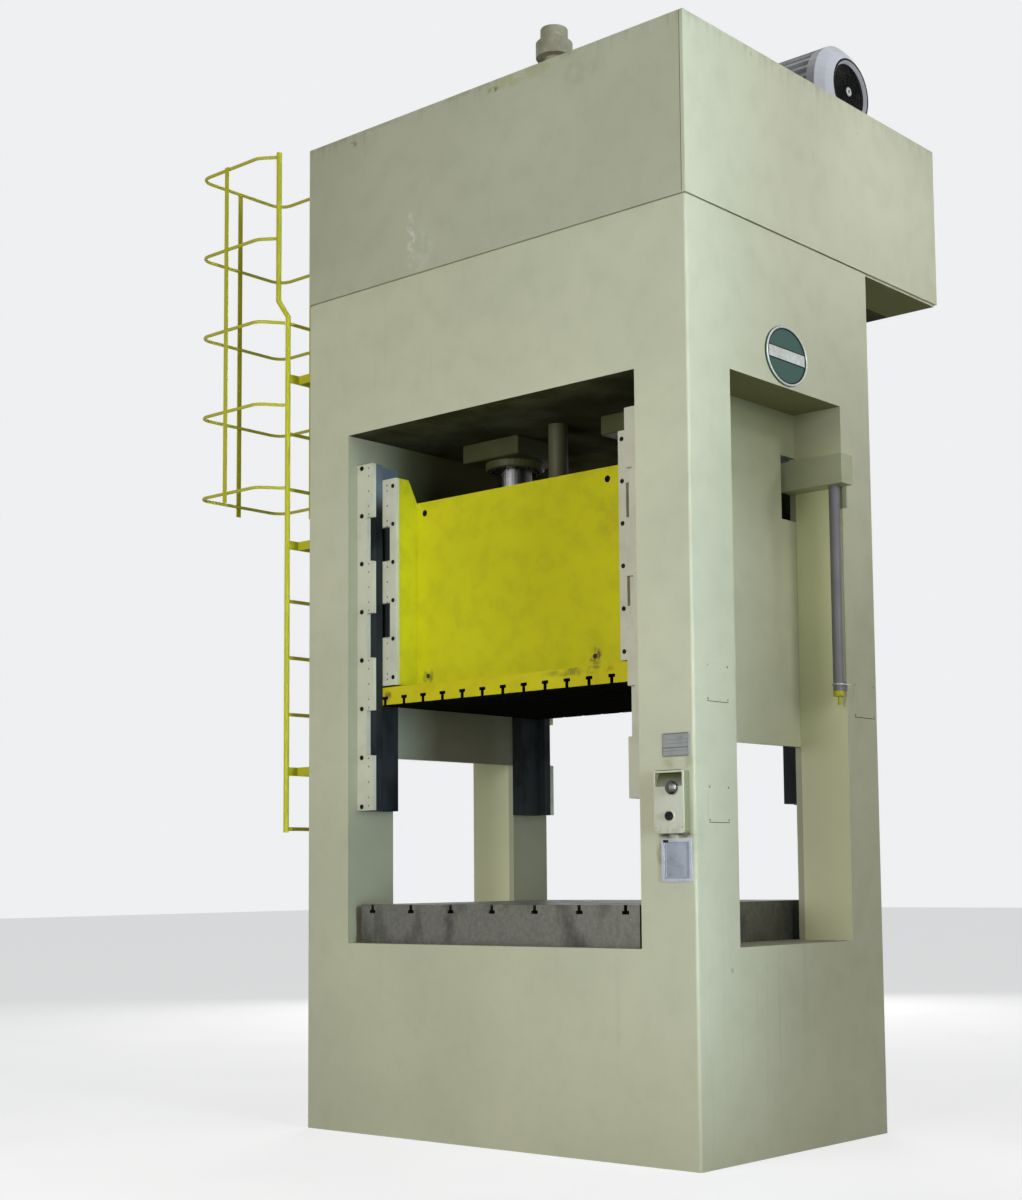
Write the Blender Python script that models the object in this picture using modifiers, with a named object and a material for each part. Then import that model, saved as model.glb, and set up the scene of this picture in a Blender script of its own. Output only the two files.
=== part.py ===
"""Straight-side hydraulic press: frame, guided slide, crown hydraulics and caged ladder.

Metres, +Z up. The origin is on the floor, under the centre of the welded frame.
+X runs to the right along the front, +Y runs to the back.
"""

import math

import bmesh
import bpy
from mathutils import Matrix, Vector

# Fits
SEAT = 0.0003
RUNNING = 0.0008
CUT = 0.02

# Welded frame
FRAME_WIDTH = 2.800
FRAME_DEPTH = 1.707
FRAME_HEIGHT = 4.799
COLUMN_WIDTH = 0.342
FRONT_COLUMN_DEPTH = 0.353
REAR_COLUMN_DEPTH = 0.3125
CROWN_HEIGHT = 0.832
BED_HEIGHT = 1.050
WEB_THICKNESS = 0.036
RECESS_LINTEL = 0.822
WINDOW_HEIGHT = 1.059
CORNER_RADIUS = 0.014

# Slot in the right web, where the transducer arm comes out
WEB_SLOT_HEIGHT = 0.360
WEB_SLOT_WIDTH = 0.140
WEB_SLOT_BOTTOM = 3.370

# Crown deck and the guard panels round it
DECK_THICKNESS = 0.012
DECK_INSET = 0.014
DECK_OVERHANG = 0.807
GUARD_HEIGHT = 0.952
GUARD_EDGE = 0.022
GUARD_SHEET = 0.005
LADDER_DOORWAY = 0.440
GUSSET_REACH = 0.620
GUSSET_DROP = 0.420
GUSSET_THICKNESS = 0.020
GUSSET_SPREAD = 1.900

# Guides on the frame
GIB_TOP = 3.800
GIB_LENGTH = 2.003
GIB_SETBACK = 0.070
GIB_BAR_WIDTH = 0.124
GIB_BAR_THICKNESS = 0.030
GIB_BAR_SPINE = 0.078
GIB_BOLT_PITCH = 0.280
GIB_SIDE_LEG_DEPTH = 0.165

# Slide
SLIDE_STROKE = 0.610
GUIDE_RECESS = 0.0525
GUIDE_CLEARANCE = 0.081
WEAR_PLATE_WIDTH = 0.153
WEAR_PLATE_THICKNESS = 0.025
WEAR_PLATE_SPINE = 0.050
WEAR_BOLT_PITCH = 0.222
EAR_TOP = 3.710
EAR_BOTTOM = 2.511
EAR_FLAT = 0.075
EAR_REACH = 0.256
SLIDE_POCKET = 0.077
SLIDE_SETBACK = 0.164
SLIDE_TOP = 3.581
SLIDE_WALL = 0.040
SLIDE_TRAY_DEPTH = 0.081
SLIDE_RIB_CLEARANCE = 0.082
SLIDE_HOLE_RADIUS = 0.019
SLIDE_HOLE_DEPTH = 0.060
SLIDE_HOLE_DROP = 0.065
SLIDE_HOLE_INSETS = (0.146, 0.283)

# Slotted plates
SLOT_PITCH = 0.1524
SLOT_MARGIN = 0.050
SLOT_NECK = 0.022
SLOT_HEAD = 0.045
SLOT_HEAD_HEIGHT = 0.018
SLOT_DEPTH = 0.048
DIE_PLATE_BOTTOM = 2.400
DIE_PLATE_THICKNESS = 0.100
DIE_PLATE_SIDE_INSET = 0.003
DIE_PLATE_FACE_INSET = 0.001
BOLSTER_CLEARANCE = 0.053
BOLSTER_SETBACK = 0.0535
BOLSTER_THICKNESS = 0.215
BOLSTER_SLOT_PITCH = 0.3048

# Main cylinders
CYLINDER_SHARE = 0.59111
BARREL_RADIUS = 0.210
BARREL_BORE = 0.170
BARREL_RISE = 0.150
BARREL_HEAD = 0.090
HEAD_PORT_RADIUS = 0.060
FLANGE_SIDE = 0.440
FLANGE_THICKNESS = 0.110
FLANGE_EDGE = 0.006
GLAND_RADIUS = 0.175
GLAND_THICKNESS = 0.045
GLAND_CHAMFER = 0.008
ROD_RADIUS = 0.100
ROD_FOOT_RADIUS = 0.170
ROD_FOOT_THICKNESS = 0.055
PISTON_THICKNESS = 0.140
PISTON_TOP_GAP = 0.010
ROUND_STEPS = 36
PART_STEPS = 24

# Prefill valves and pipes to the reservoir
PREFILL_RADIUS = 0.140
PREFILL_HEIGHT = 0.330
PREFILL_FLANGE_RADIUS = 0.185
PREFILL_FLANGE_THICKNESS = 0.035
PREFILL_CAP_RADIUS = 0.080
PREFILL_CAP_STEP = 0.045
SUCTION_RADIUS = 0.070
SUCTION_RISE = 0.180
PORT_STAND_OUT = 0.040
PIPE_FLANGE_RADIUS = 0.105
PIPE_FLANGE_THICKNESS = 0.028
PRESSURE_RADIUS = 0.024
PRESSURE_BEND = 0.070
PRESSURE_RUN = 0.160
PRESSURE_STAGGER = 0.050

# Centre stop rod, its nut and the tube it lands on
STOP_ROD_Y = -0.221
STOP_ROD_RADIUS = 0.056
STOP_ROD_TOP = 6.311
STOP_ROD_DOME = 0.018
STOP_ROD_FOOT_RADIUS = 0.100
STOP_ROD_FOOT_HEIGHT = 0.120
STOP_ROD_FOOT_TAPER = 0.010
STOP_NUT_RADIUS = 0.107
STOP_NUT_HEIGHT = 0.100
STOP_NUT_DROP = 0.078
STOP_NUT_CHAMFER = 0.012
STOP_TUBE_RADIUS = 0.110
STOP_TUBE_FLANGE_RADIUS = 0.180
STOP_TUBE_FLANGE_THICKNESS = 0.030
STOP_SEAT_GAP = 0.001

# Power unit on the rear of the deck
TANK_CLEARANCE = 0.190
TANK_FRONT = 0.620
TANK_DEPTH = 0.800
TANK_FOOT = 0.060
TANK_HEIGHT = 0.745
TANK_LID = 0.015
TANK_LID_LAP = 0.015
TANK_FOOT_INSET = 0.150
TANK_FOOT_WIDTH = 0.100
TANK_FOOT_MARGIN = 0.030
MOTOR_Y = 0.939
MOTOR_AXIS_HEIGHT = 5.948
MOTOR_RADIUS = 0.280
MOTOR_CORE_RADIUS = 0.255
MOTOR_FINS = 30
MOTOR_FIN_SHARE = 0.3
MOTOR_SETBACK = 0.850
MOTOR_LENGTH = 0.790
MOTOR_FOOT_SPREAD = 0.400
MOTOR_FOOT_WIDTH = 0.090
MOTOR_FOOT_LENGTH = 0.160
MOTOR_FOOT_INSET = 0.050
MOTOR_FOOT_DROP = 0.100
TERMINAL_BOX_INSET = 0.260
TERMINAL_BOX_LENGTH = 0.240
TERMINAL_BOX_DEPTH = 0.160
TERMINAL_BOX_HEIGHT = 0.200
COWL_LENGTH = 0.130
COWL_FACE_RADIUS = 0.190
COWL_RIM = 0.030
COWL_SHOULDER = 0.045
COWL_SKIRT = 0.055
BELL_LENGTH = 0.200
BELL_RADIUS = 0.190
BELL_WAIST_RADIUS = 0.142
BELL_LIP = 0.035
BELL_FLANGE = 0.025
PUMP_LENGTH = 0.360
PUMP_RADIUS = 0.120
PUMP_CASE_RADIUS = 0.100
PUMP_CASE_LENGTH = 0.110
PUMP_FLANGE_RADIUS = 0.171
PEDESTAL_SIDE = 0.120
PEDESTAL_INSET = 0.120
MANIFOLD_LENGTH = 0.300
MANIFOLD_DEPTH = 0.360
MANIFOLD_HEIGHT = 0.150
MANIFOLD_GAP = 0.0894
MANIFOLD_SETBACK = 0.200
VALVE_COUNT = 3
VALVE_LENGTH = 0.255
VALVE_WIDTH = 0.070
VALVE_HEIGHT = 0.080
WELD_LAP = 0.001

# Transducer arm and tube on the right side
ARM_DEPTH = 0.113
ARM_HEIGHT = 0.162
ARM_BOTTOM = 3.526
ARM_REACH = 0.070
ARM_INSET = 0.006
TUBE_RADIUS = 0.030
TUBE_BOTTOM = 2.370
TUBE_INSET = 0.015
TUBE_PLATE_DROP = 0.120
TUBE_PLATE_WIDTH = 0.096
TUBE_PLATE_THICKNESS = 0.010
TUBE_CLIP_HEIGHT = 0.030
TUBE_CLIP_WIDTH = 0.040

# Operator box on the right front column
BOX_INSET = 0.130
BOX_WIDTH = 0.189
BOX_BOTTOM = 1.612
BOX_HEIGHT = 0.310
BOX_DEPTH = 0.042
BOX_CORNER = 0.014
BOX_EDGE = 0.004
SCOOP_WALL = 0.013
SCOOP_DEPTH = 0.030
SCOOP_HEIGHT = 0.068
PALM_BUTTON_X = 0.024
PALM_BUTTON_DROP = 0.088
PALM_BUTTON_RADIUS = 0.034
PALM_BUTTON_DOME = 0.010
KNOB_BUTTON_X = 0.006
KNOB_BUTTON_DROP = 0.225
KNOB_BUTTON_RADIUS = 0.022
KNOB_BUTTON_DOME = 0.002
BUTTON_TRAVEL = 0.006
BUTTON_PROUD = 0.020
BUTTON_EDGE = 0.006
BUTTON_ARC_STEPS = 3
BUTTON_STEM_SHARE = 0.6
BUTTON_STEM_DEPTH = 0.030

# Plates on the outside
OVAL_WIDTH = 0.390
OVAL_HEIGHT = 0.323
OVAL_Y = 0.014
OVAL_Z = 4.148
PLATE_THICKNESS = 0.008

# Ladder and cage on the left side
LADDER_STANDOFF = 0.182
LADDER_FORWARD = 0.0075
LADDER_SPACING = 0.406
LADDER_BOTTOM = 1.706
RAIL_RADIUS = 0.0165
RUNG_RADIUS = 0.011
RUNG_COUNT = 10
RUNG_PITCH = 0.337
RUNG_SIDES = 10
LADDER_TOP = 5.776
EXTENSION_FLARE = 0.075
RAIL_FOOT = 0.020
RAIL_KNEE = 0.040
RAIL_KNEE_HEIGHT = 0.080
WALL_BRACKET_RUNGS = (1, 5, 8)
WALL_BRACKET_THICKNESS = 0.012
WALL_BRACKET_HEIGHT = 0.050
WALL_BRACKET_INSETS = (0.0735, 0.3035)
CAGE_REACH = 0.658
CAGE_FLARE = 0.149
CAGE_REAR_FLARE = 0.104
CAGE_RUNOUT = 0.109
CAGE_CORNER = 0.085
HOOP_RADIUS = 0.010
HOOP_COUNT = 5
HOOP_PITCH = 0.504
CAGE_STRAP_WIDTH = 0.032
CAGE_STRAP_THICKNESS = 0.006
CAGE_STRAP_TAIL = 0.060

# Derived positions
HALF_WIDTH = FRAME_WIDTH / 2
HALF_DEPTH = FRAME_DEPTH / 2
REVEAL = HALF_WIDTH - COLUMN_WIDTH
CROWN_BOTTOM = FRAME_HEIGHT - CROWN_HEIGHT
RECESS_TOP = FRAME_HEIGHT - RECESS_LINTEL
RECESS_FRONT = -HALF_DEPTH + FRONT_COLUMN_DEPTH
RECESS_REAR = HALF_DEPTH - REAR_COLUMN_DEPTH
WEB_OUTER = REVEAL + WEB_THICKNESS
DECK_BOTTOM = FRAME_HEIGHT + SEAT
DECK_TOP = DECK_BOTTOM + DECK_THICKNESS
DECK_REAR = HALF_DEPTH + DECK_OVERHANG
GUARD_BOTTOM = DECK_TOP + SEAT
SLIDE_BOTTOM = DIE_PLATE_BOTTOM + DIE_PLATE_THICKNESS + SEAT
TRAY_FLOOR = SLIDE_TOP - SLIDE_TRAY_DEPTH
GIB_BAR_FACE = HALF_DEPTH - GIB_SETBACK
GIB_BAR_BACK = GIB_BAR_FACE - GIB_BAR_THICKNESS
GIB_BAR_INNER = REVEAL - GIB_BAR_WIDTH
GUIDE_WIDTH = 2 * (REVEAL - GUIDE_CLEARANCE)
GUIDE_DEPTH = 2 * (GIB_BAR_BACK - GUIDE_RECESS)
SLIDE_WIDTH = GUIDE_WIDTH - 2 * SLIDE_POCKET
SLIDE_DEPTH = GUIDE_DEPTH - 2 * SLIDE_SETBACK
SLIDE_HOLE_X = (SLIDE_HOLE_INSETS[0] - SLIDE_WIDTH / 2, SLIDE_WIDTH / 2 - SLIDE_HOLE_INSETS[1])
DIE_PLATE_WIDTH = GUIDE_WIDTH - 2 * DIE_PLATE_SIDE_INSET
DIE_PLATE_DEPTH = GUIDE_DEPTH - 2 * DIE_PLATE_FACE_INSET
SLOT_COUNT = 2 * int((DIE_PLATE_WIDTH / 2 - SLOT_MARGIN) / SLOT_PITCH) + 1
BOLSTER_WIDTH = 2 * (REVEAL - BOLSTER_CLEARANCE)
BOLSTER_DEPTH = FRAME_DEPTH - 2 * BOLSTER_SETBACK
BOLSTER_SLOT_COUNT = 2 * int((BOLSTER_WIDTH / 2 - SLOT_MARGIN) / BOLSTER_SLOT_PITCH) + 1
CYLINDER_SPREAD = SLIDE_WIDTH * CYLINDER_SHARE
SLIDE_RIB_SPREAD = CYLINDER_SPREAD - 2 * (ROD_FOOT_RADIUS + SLIDE_RIB_CLEARANCE)
EAR_OUTER = GUIDE_WIDTH / 2
EAR_INNER = EAR_OUTER - WEAR_PLATE_WIDTH
WEAR_FACE = GUIDE_DEPTH / 2
EAR_FACE = WEAR_FACE - WEAR_PLATE_THICKNESS - SEAT
BARREL_TOP = DECK_TOP + BARREL_RISE
BARREL_ROOF = BARREL_TOP - BARREL_HEAD
PREFILL_BOTTOM = BARREL_TOP + SEAT
STOP_NUT_TOP = STOP_ROD_TOP - STOP_NUT_DROP
STOP_NUT_BOTTOM = STOP_NUT_TOP - STOP_NUT_HEIGHT
STOP_TUBE_TOP = STOP_NUT_BOTTOM - SLIDE_STROKE - STOP_SEAT_GAP
TANK_BOTTOM = DECK_TOP + SEAT
TANK_TOP = TANK_BOTTOM + TANK_FOOT + TANK_HEIGHT
TANK_RIGHT = HALF_WIDTH - TANK_CLEARANCE
MOTOR_LEFT = TANK_RIGHT - MOTOR_SETBACK
MOTOR_RIGHT = MOTOR_LEFT + MOTOR_LENGTH
PUMP_LEFT = MOTOR_LEFT - 2 * SEAT - BELL_LENGTH - PUMP_LENGTH
MANIFOLD_X = PUMP_LEFT - MANIFOLD_GAP - MANIFOLD_LENGTH / 2
TANK_LEFT = MANIFOLD_X - MANIFOLD_SETBACK
ARM_START = REVEAL + ARM_INSET
ARM_END = HALF_WIDTH + ARM_REACH
TUBE_X = HALF_WIDTH - TUBE_INSET
BOX_X = HALF_WIDTH - BOX_INSET
ARM_BACK = RECESS_REAR - SEAT
LADDER_X = -HALF_WIDTH - LADDER_STANDOFF
LADDER_NEAR_Y = -HALF_DEPTH - LADDER_FORWARD
LADDER_FAR_Y = LADDER_NEAR_Y + LADDER_SPACING
HOOP_TOP = LADDER_TOP - RAIL_RADIUS - HOOP_RADIUS - SEAT


def clear_scene():
    for obj in list(bpy.data.objects):
        bpy.data.objects.remove(obj, do_unlink=True)
    for collection in list(bpy.data.collections):
        bpy.data.collections.remove(collection)


def make_collection(name):
    collection = bpy.data.collections.new(name)
    bpy.context.scene.collection.children.link(collection)
    return collection


clear_scene()
PRESS = make_collection("hydraulic_press")
CUTTERS = make_collection("cutters")


def make_material(name, colour, roughness, metallic=0.0):
    material = bpy.data.materials.new(name)
    material.use_nodes = True
    shader = material.node_tree.nodes["Principled BSDF"]
    shader.inputs["Base Color"].default_value = (*colour, 1.0)
    shader.inputs["Roughness"].default_value = roughness
    shader.inputs["Metallic"].default_value = metallic
    return material


CREAM = make_material("cream_paint", (0.44, 0.45, 0.32), 0.5)
GUARD_CREAM = make_material("guard_paint", (0.42, 0.43, 0.31), 0.5)
GUIDE_CREAM = make_material("guide_paint", (0.50, 0.51, 0.38), 0.45)
SLIDE_YELLOW = make_material("slide_yellow", (0.44, 0.42, 0.02), 0.45)
RAIL_YELLOW = make_material("rail_yellow", (0.55, 0.50, 0.03), 0.4)
MACHINED = make_material("machined_steel", (0.35, 0.40, 0.45), 0.3, 1.0)
CHROME = make_material("rod_chrome", (0.75, 0.75, 0.77), 0.08, 1.0)
DARK_STEEL = make_material("dark_steel", (0.10, 0.10, 0.09), 0.5, 1.0)
MOTOR_GREY = make_material("motor_grey", (0.38, 0.40, 0.42), 0.4)
TUBE_GREY = make_material("tube_grey", (0.20, 0.20, 0.21), 0.4)
BLACK = make_material("black_plastic", (0.02, 0.02, 0.02), 0.4)
SILVER = make_material("button_silver", (0.60, 0.60, 0.60), 0.25, 1.0)
BADGE = make_material("badge_green", (0.10, 0.16, 0.13), 0.4)


def finish(obj, material, smooth=False):
    """Give a piece its material, shading and place in the press collection."""
    for collection in list(obj.users_collection):
        collection.objects.unlink(obj)
    PRESS.objects.link(obj)
    obj.data.materials.clear()
    obj.data.materials.append(material)
    if smooth:
        obj.data.shade_smooth()
        obj.data.set_sharp_from_angle(angle=math.radians(35))
    return obj


def make_cutter(obj):
    for collection in list(obj.users_collection):
        collection.objects.unlink(obj)
    CUTTERS.objects.link(obj)
    obj.hide_render = True
    obj.display_type = "WIRE"
    return obj


def object_from_bmesh(name, mesh_data, location=(0, 0, 0)):
    mesh = bpy.data.meshes.new(name)
    mesh_data.to_mesh(mesh)
    mesh_data.free()
    obj = bpy.data.objects.new(name, mesh)
    obj.location = location
    PRESS.objects.link(obj)
    return obj


def make_box(name, low, high):
    """A box between two corners, with its origin at its centre."""
    size = Vector(high) - Vector(low)
    centre = (Vector(high) + Vector(low)) / 2
    mesh_data = bmesh.new()
    bmesh.ops.create_cube(mesh_data, size=1.0)
    bmesh.ops.scale(mesh_data, vec=size, verts=mesh_data.verts)
    return object_from_bmesh(name, mesh_data, centre)


def axis_turn(axis):
    """Rotation that lays a Z-axis shape along the given axis."""
    turns = {
        "X": Matrix.Rotation(math.radians(90), 4, "Y"),
        "Y": Matrix.Rotation(math.radians(-90), 4, "X"),
        "Z": Matrix.Identity(4),
    }
    return turns[axis]


def make_cylinder(name, radius, start, length, axis="Z", steps=ROUND_STEPS, end_radius=None):
    """A cylinder or cone that starts at a point and runs along +axis."""
    mesh_data = bmesh.new()
    bmesh.ops.create_cone(
        mesh_data,
        cap_ends=True,
        segments=steps,
        radius1=radius,
        radius2=radius if end_radius is None else end_radius,
        depth=length,
    )
    bmesh.ops.translate(mesh_data, vec=(0, 0, length / 2), verts=mesh_data.verts)
    bmesh.ops.transform(mesh_data, matrix=axis_turn(axis), verts=mesh_data.verts)
    return object_from_bmesh(name, mesh_data, start)


def make_turned(name, outline, location, axis="Z", steps=ROUND_STEPS):
    """Turn an open or closed outline of (radius, height) points round the axis."""
    mesh_data = bmesh.new()
    corners = [mesh_data.verts.new((radius, 0, height)) for radius, height in outline]
    for first, second in zip(corners, corners[1:]):
        mesh_data.edges.new((first, second))
    if outline[0][0] > 0 and outline[-1][0] > 0:
        mesh_data.edges.new((corners[-1], corners[0]))
    obj = object_from_bmesh(name, mesh_data, location)
    obj.rotation_euler = axis_turn(axis).to_euler()
    screw = obj.modifiers.new("turn", "SCREW")
    screw.axis = "Z"
    screw.steps = steps
    screw.render_steps = steps
    screw.use_merge_vertices = True
    screw.merge_threshold = 0.00001
    return obj


def make_outline(name, points, thickness, location, rotation=(0, 0, 0)):
    """A flat outline extruded evenly to both sides of its plane."""
    curve = bpy.data.curves.new(name, "CURVE")
    curve.dimensions = "2D"
    curve.fill_mode = "BOTH"
    curve.extrude = thickness / 2
    spline = curve.splines.new("POLY")
    spline.points.add(len(points) - 1)
    for point, (x, y) in zip(spline.points, points):
        point.co = (x, y, 0, 1)
    spline.use_cyclic_u = True
    obj = bpy.data.objects.new(name, curve)
    obj.location = location
    obj.rotation_euler = rotation
    PRESS.objects.link(obj)
    return obj


def make_tube(name, points, radius, resolution=1):
    """A round bar or pipe along a chain of points."""
    curve = bpy.data.curves.new(name, "CURVE")
    curve.dimensions = "3D"
    curve.bevel_depth = radius
    curve.bevel_resolution = resolution
    curve.use_fill_caps = True
    spline = curve.splines.new("POLY")
    spline.points.add(len(points) - 1)
    for point, place in zip(spline.points, points):
        point.co = (*place, 1)
    obj = bpy.data.objects.new(name, curve)
    PRESS.objects.link(obj)
    return obj


def as_mesh(obj):
    """Turn a curve or a modified piece into a plain welded mesh object."""
    bpy.context.view_layer.update()
    evaluated = obj.evaluated_get(bpy.context.evaluated_depsgraph_get())
    mesh = bpy.data.meshes.new_from_object(evaluated)
    mesh_data = bmesh.new()
    mesh_data.from_mesh(mesh)
    bmesh.ops.remove_doubles(mesh_data, verts=mesh_data.verts, dist=0.00001)
    mesh_data.to_mesh(mesh)
    mesh_data.free()
    name = obj.name
    matrix = obj.matrix_world.copy()
    bpy.data.objects.remove(obj, do_unlink=True)
    solid = bpy.data.objects.new(name, mesh)
    solid.matrix_world = matrix
    PRESS.objects.link(solid)
    return solid


def combine(obj, tools, operation):
    for tool in tools:
        modifier = obj.modifiers.new(operation.lower(), "BOOLEAN")
        modifier.operation = operation
        modifier.solver = "EXACT"
        modifier.object = make_cutter(tool)
    return obj


def cut(obj, *tools):
    return combine(obj, tools, "DIFFERENCE")


def fuse(obj, *tools):
    return combine(obj, tools, "UNION")


def soften(obj, width, segments=2):
    """Round the sharp edges of a piece."""
    bevel = obj.modifiers.new("edges", "BEVEL")
    bevel.width = width
    bevel.segments = segments
    bevel.limit_method = "ANGLE"
    bevel.angle_limit = math.radians(40)
    return obj


def round_path(points, radius, steps=5):
    """Replace the corners of a chain of points by arcs."""
    path = [Vector(points[0])]
    for before, corner, after in zip(points, points[1:], points[2:]):
        corner = Vector(corner)
        towards = (Vector(before) - corner).normalized()
        away = (Vector(after) - corner).normalized()
        half = towards.angle(away) / 2
        setback = radius / math.tan(half)
        centre = corner + (towards + away).normalized() * (radius / math.sin(half))
        start = corner + towards * setback - centre
        end = corner + away * setback - centre
        sweep = start.angle(end)
        for step in range(steps + 1):
            share = step / steps
            weight_start = math.sin((1 - share) * sweep) / math.sin(sweep)
            weight_end = math.sin(share * sweep) / math.sin(sweep)
            path.append(centre + start * weight_start + end * weight_end)
    path.append(Vector(points[-1]))
    return path


def build_frame():
    """One weldment: bed, two uprights with side recesses and webs, and crown."""
    frame = make_box(
        "press_frame",
        (-HALF_WIDTH, -HALF_DEPTH, 0),
        (HALF_WIDTH, HALF_DEPTH, FRAME_HEIGHT),
    )
    mesh_data = bmesh.new()
    mesh_data.from_mesh(frame.data)
    upright_edges = [
        edge
        for edge in mesh_data.edges
        if abs(edge.verts[0].co.z - edge.verts[1].co.z) > BED_HEIGHT
    ]
    bmesh.ops.bevel(
        mesh_data, geom=upright_edges, offset=CORNER_RADIUS, segments=3, profile=0.5, affect="EDGES"
    )
    mesh_data.to_mesh(frame.data)
    mesh_data.free()

    cutters = [
        make_box(
            "die_space_cutter",
            (-REVEAL, -HALF_DEPTH - CUT, BED_HEIGHT),
            (REVEAL, HALF_DEPTH + CUT, CROWN_BOTTOM),
        )
    ]
    for side in (-1, 1):
        outer = side * (HALF_WIDTH + CUT)
        inner = side * WEB_OUTER
        through = side * (REVEAL - CUT)
        cutters.append(
            make_box(
                "recess_cutter",
                (min(inner, outer), RECESS_FRONT, BED_HEIGHT),
                (max(inner, outer), RECESS_REAR, RECESS_TOP),
            )
        )
        cutters.append(
            make_box(
                "window_cutter",
                (min(through, outer), RECESS_FRONT, BED_HEIGHT),
                (max(through, outer), RECESS_REAR, BED_HEIGHT + WINDOW_HEIGHT),
            )
        )
        cutters.append(
            make_cylinder(
                "barrel_cutter",
                BARREL_RADIUS + SEAT,
                (side * CYLINDER_SPREAD / 2, 0, CROWN_BOTTOM - CUT),
                CROWN_HEIGHT + 2 * CUT,
            )
        )
    cutters.append(
        make_box(
            "web_slot_cutter",
            (REVEAL - CUT, RECESS_REAR - WEB_SLOT_WIDTH, WEB_SLOT_BOTTOM),
            (WEB_OUTER + CUT, RECESS_REAR, WEB_SLOT_BOTTOM + WEB_SLOT_HEIGHT),
        )
    )
    cutters.append(
        make_cylinder(
            "stop_rod_cutter",
            STOP_ROD_RADIUS + RUNNING,
            (0, STOP_ROD_Y, CROWN_BOTTOM - CUT),
            CROWN_HEIGHT + 2 * CUT,
        )
    )
    cut(frame, *cutters)

    gussets = []
    for side in (-1, 1):
        gussets.append(
            as_mesh(
                make_outline(
                    "deck_gusset",
                    [
                        (HALF_DEPTH - CUT, FRAME_HEIGHT),
                        (HALF_DEPTH - CUT, FRAME_HEIGHT - GUSSET_DROP),
                        (HALF_DEPTH, FRAME_HEIGHT - GUSSET_DROP),
                        (HALF_DEPTH + GUSSET_REACH, FRAME_HEIGHT - GUSSET_THICKNESS),
                        (HALF_DEPTH + GUSSET_REACH, FRAME_HEIGHT),
                    ],
                    GUSSET_THICKNESS,
                    (side * GUSSET_SPREAD / 2, 0, 0),
                    (math.radians(90), 0, math.radians(90)),
                )
            )
        )
    fuse(frame, *gussets)
    finish(frame, CREAM)


def slotted_outline(width, thickness, count, pitch, slots_face_up):
    """Front view of a plate with T-slots along one face, its low face at zero."""
    half = width / 2
    points = []
    first_slot = -(count - 1) / 2 * pitch
    for index in range(count):
        centre = first_slot + index * pitch
        neck = SLOT_NECK / 2
        head = SLOT_HEAD / 2
        neck_depth = SLOT_DEPTH - SLOT_HEAD_HEIGHT
        points += [
            (centre - neck, 0),
            (centre - neck, neck_depth),
            (centre - head, neck_depth),
            (centre - head, SLOT_DEPTH),
            (centre + head, SLOT_DEPTH),
            (centre + head, neck_depth),
            (centre + neck, neck_depth),
            (centre + neck, 0),
        ]
    points = [(-half, 0)] + points + [(half, 0), (half, thickness), (-half, thickness)]
    if slots_face_up:
        points = [(x, thickness - z) for x, z in points]
    return points


def build_slotted_plates():
    upright = (math.radians(90), 0, 0)
    die_plate = make_outline(
        "slide_die_plate",
        slotted_outline(DIE_PLATE_WIDTH, DIE_PLATE_THICKNESS, SLOT_COUNT, SLOT_PITCH, False),
        DIE_PLATE_DEPTH,
        (0, 0, DIE_PLATE_BOTTOM),
        upright,
    )
    finish(as_mesh(die_plate), SLIDE_YELLOW)
    bolster = make_outline(
        "bolster_plate",
        slotted_outline(
            BOLSTER_WIDTH, BOLSTER_THICKNESS, BOLSTER_SLOT_COUNT, BOLSTER_SLOT_PITCH, True
        ),
        BOLSTER_DEPTH,
        (0, 0, BED_HEIGHT + SEAT),
        upright,
    )
    finish(as_mesh(bolster), DARK_STEEL)


def notched_outline(width, spine, length, pitch, bolts):
    """Strip with its spine on the left and teeth between every other pair of bolts."""
    margin = (length - (bolts - 1) * pitch) / 2
    points = [(0, 0)]
    lip = min(margin, pitch / 10) / 2
    for pair in range(bolts // 2):
        low_bolt = margin + 2 * pair * pitch
        low = 0 if pair == 0 else low_bolt - lip
        high = low_bolt + pitch + lip if pair < bolts // 2 - 1 else length
        if pair > 0:
            points.append((spine, low))
        points += [(width, low), (width, high)]
        if pair < bolts // 2 - 1:
            points.append((spine, high))
    points.append((0, length))
    return points


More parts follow.
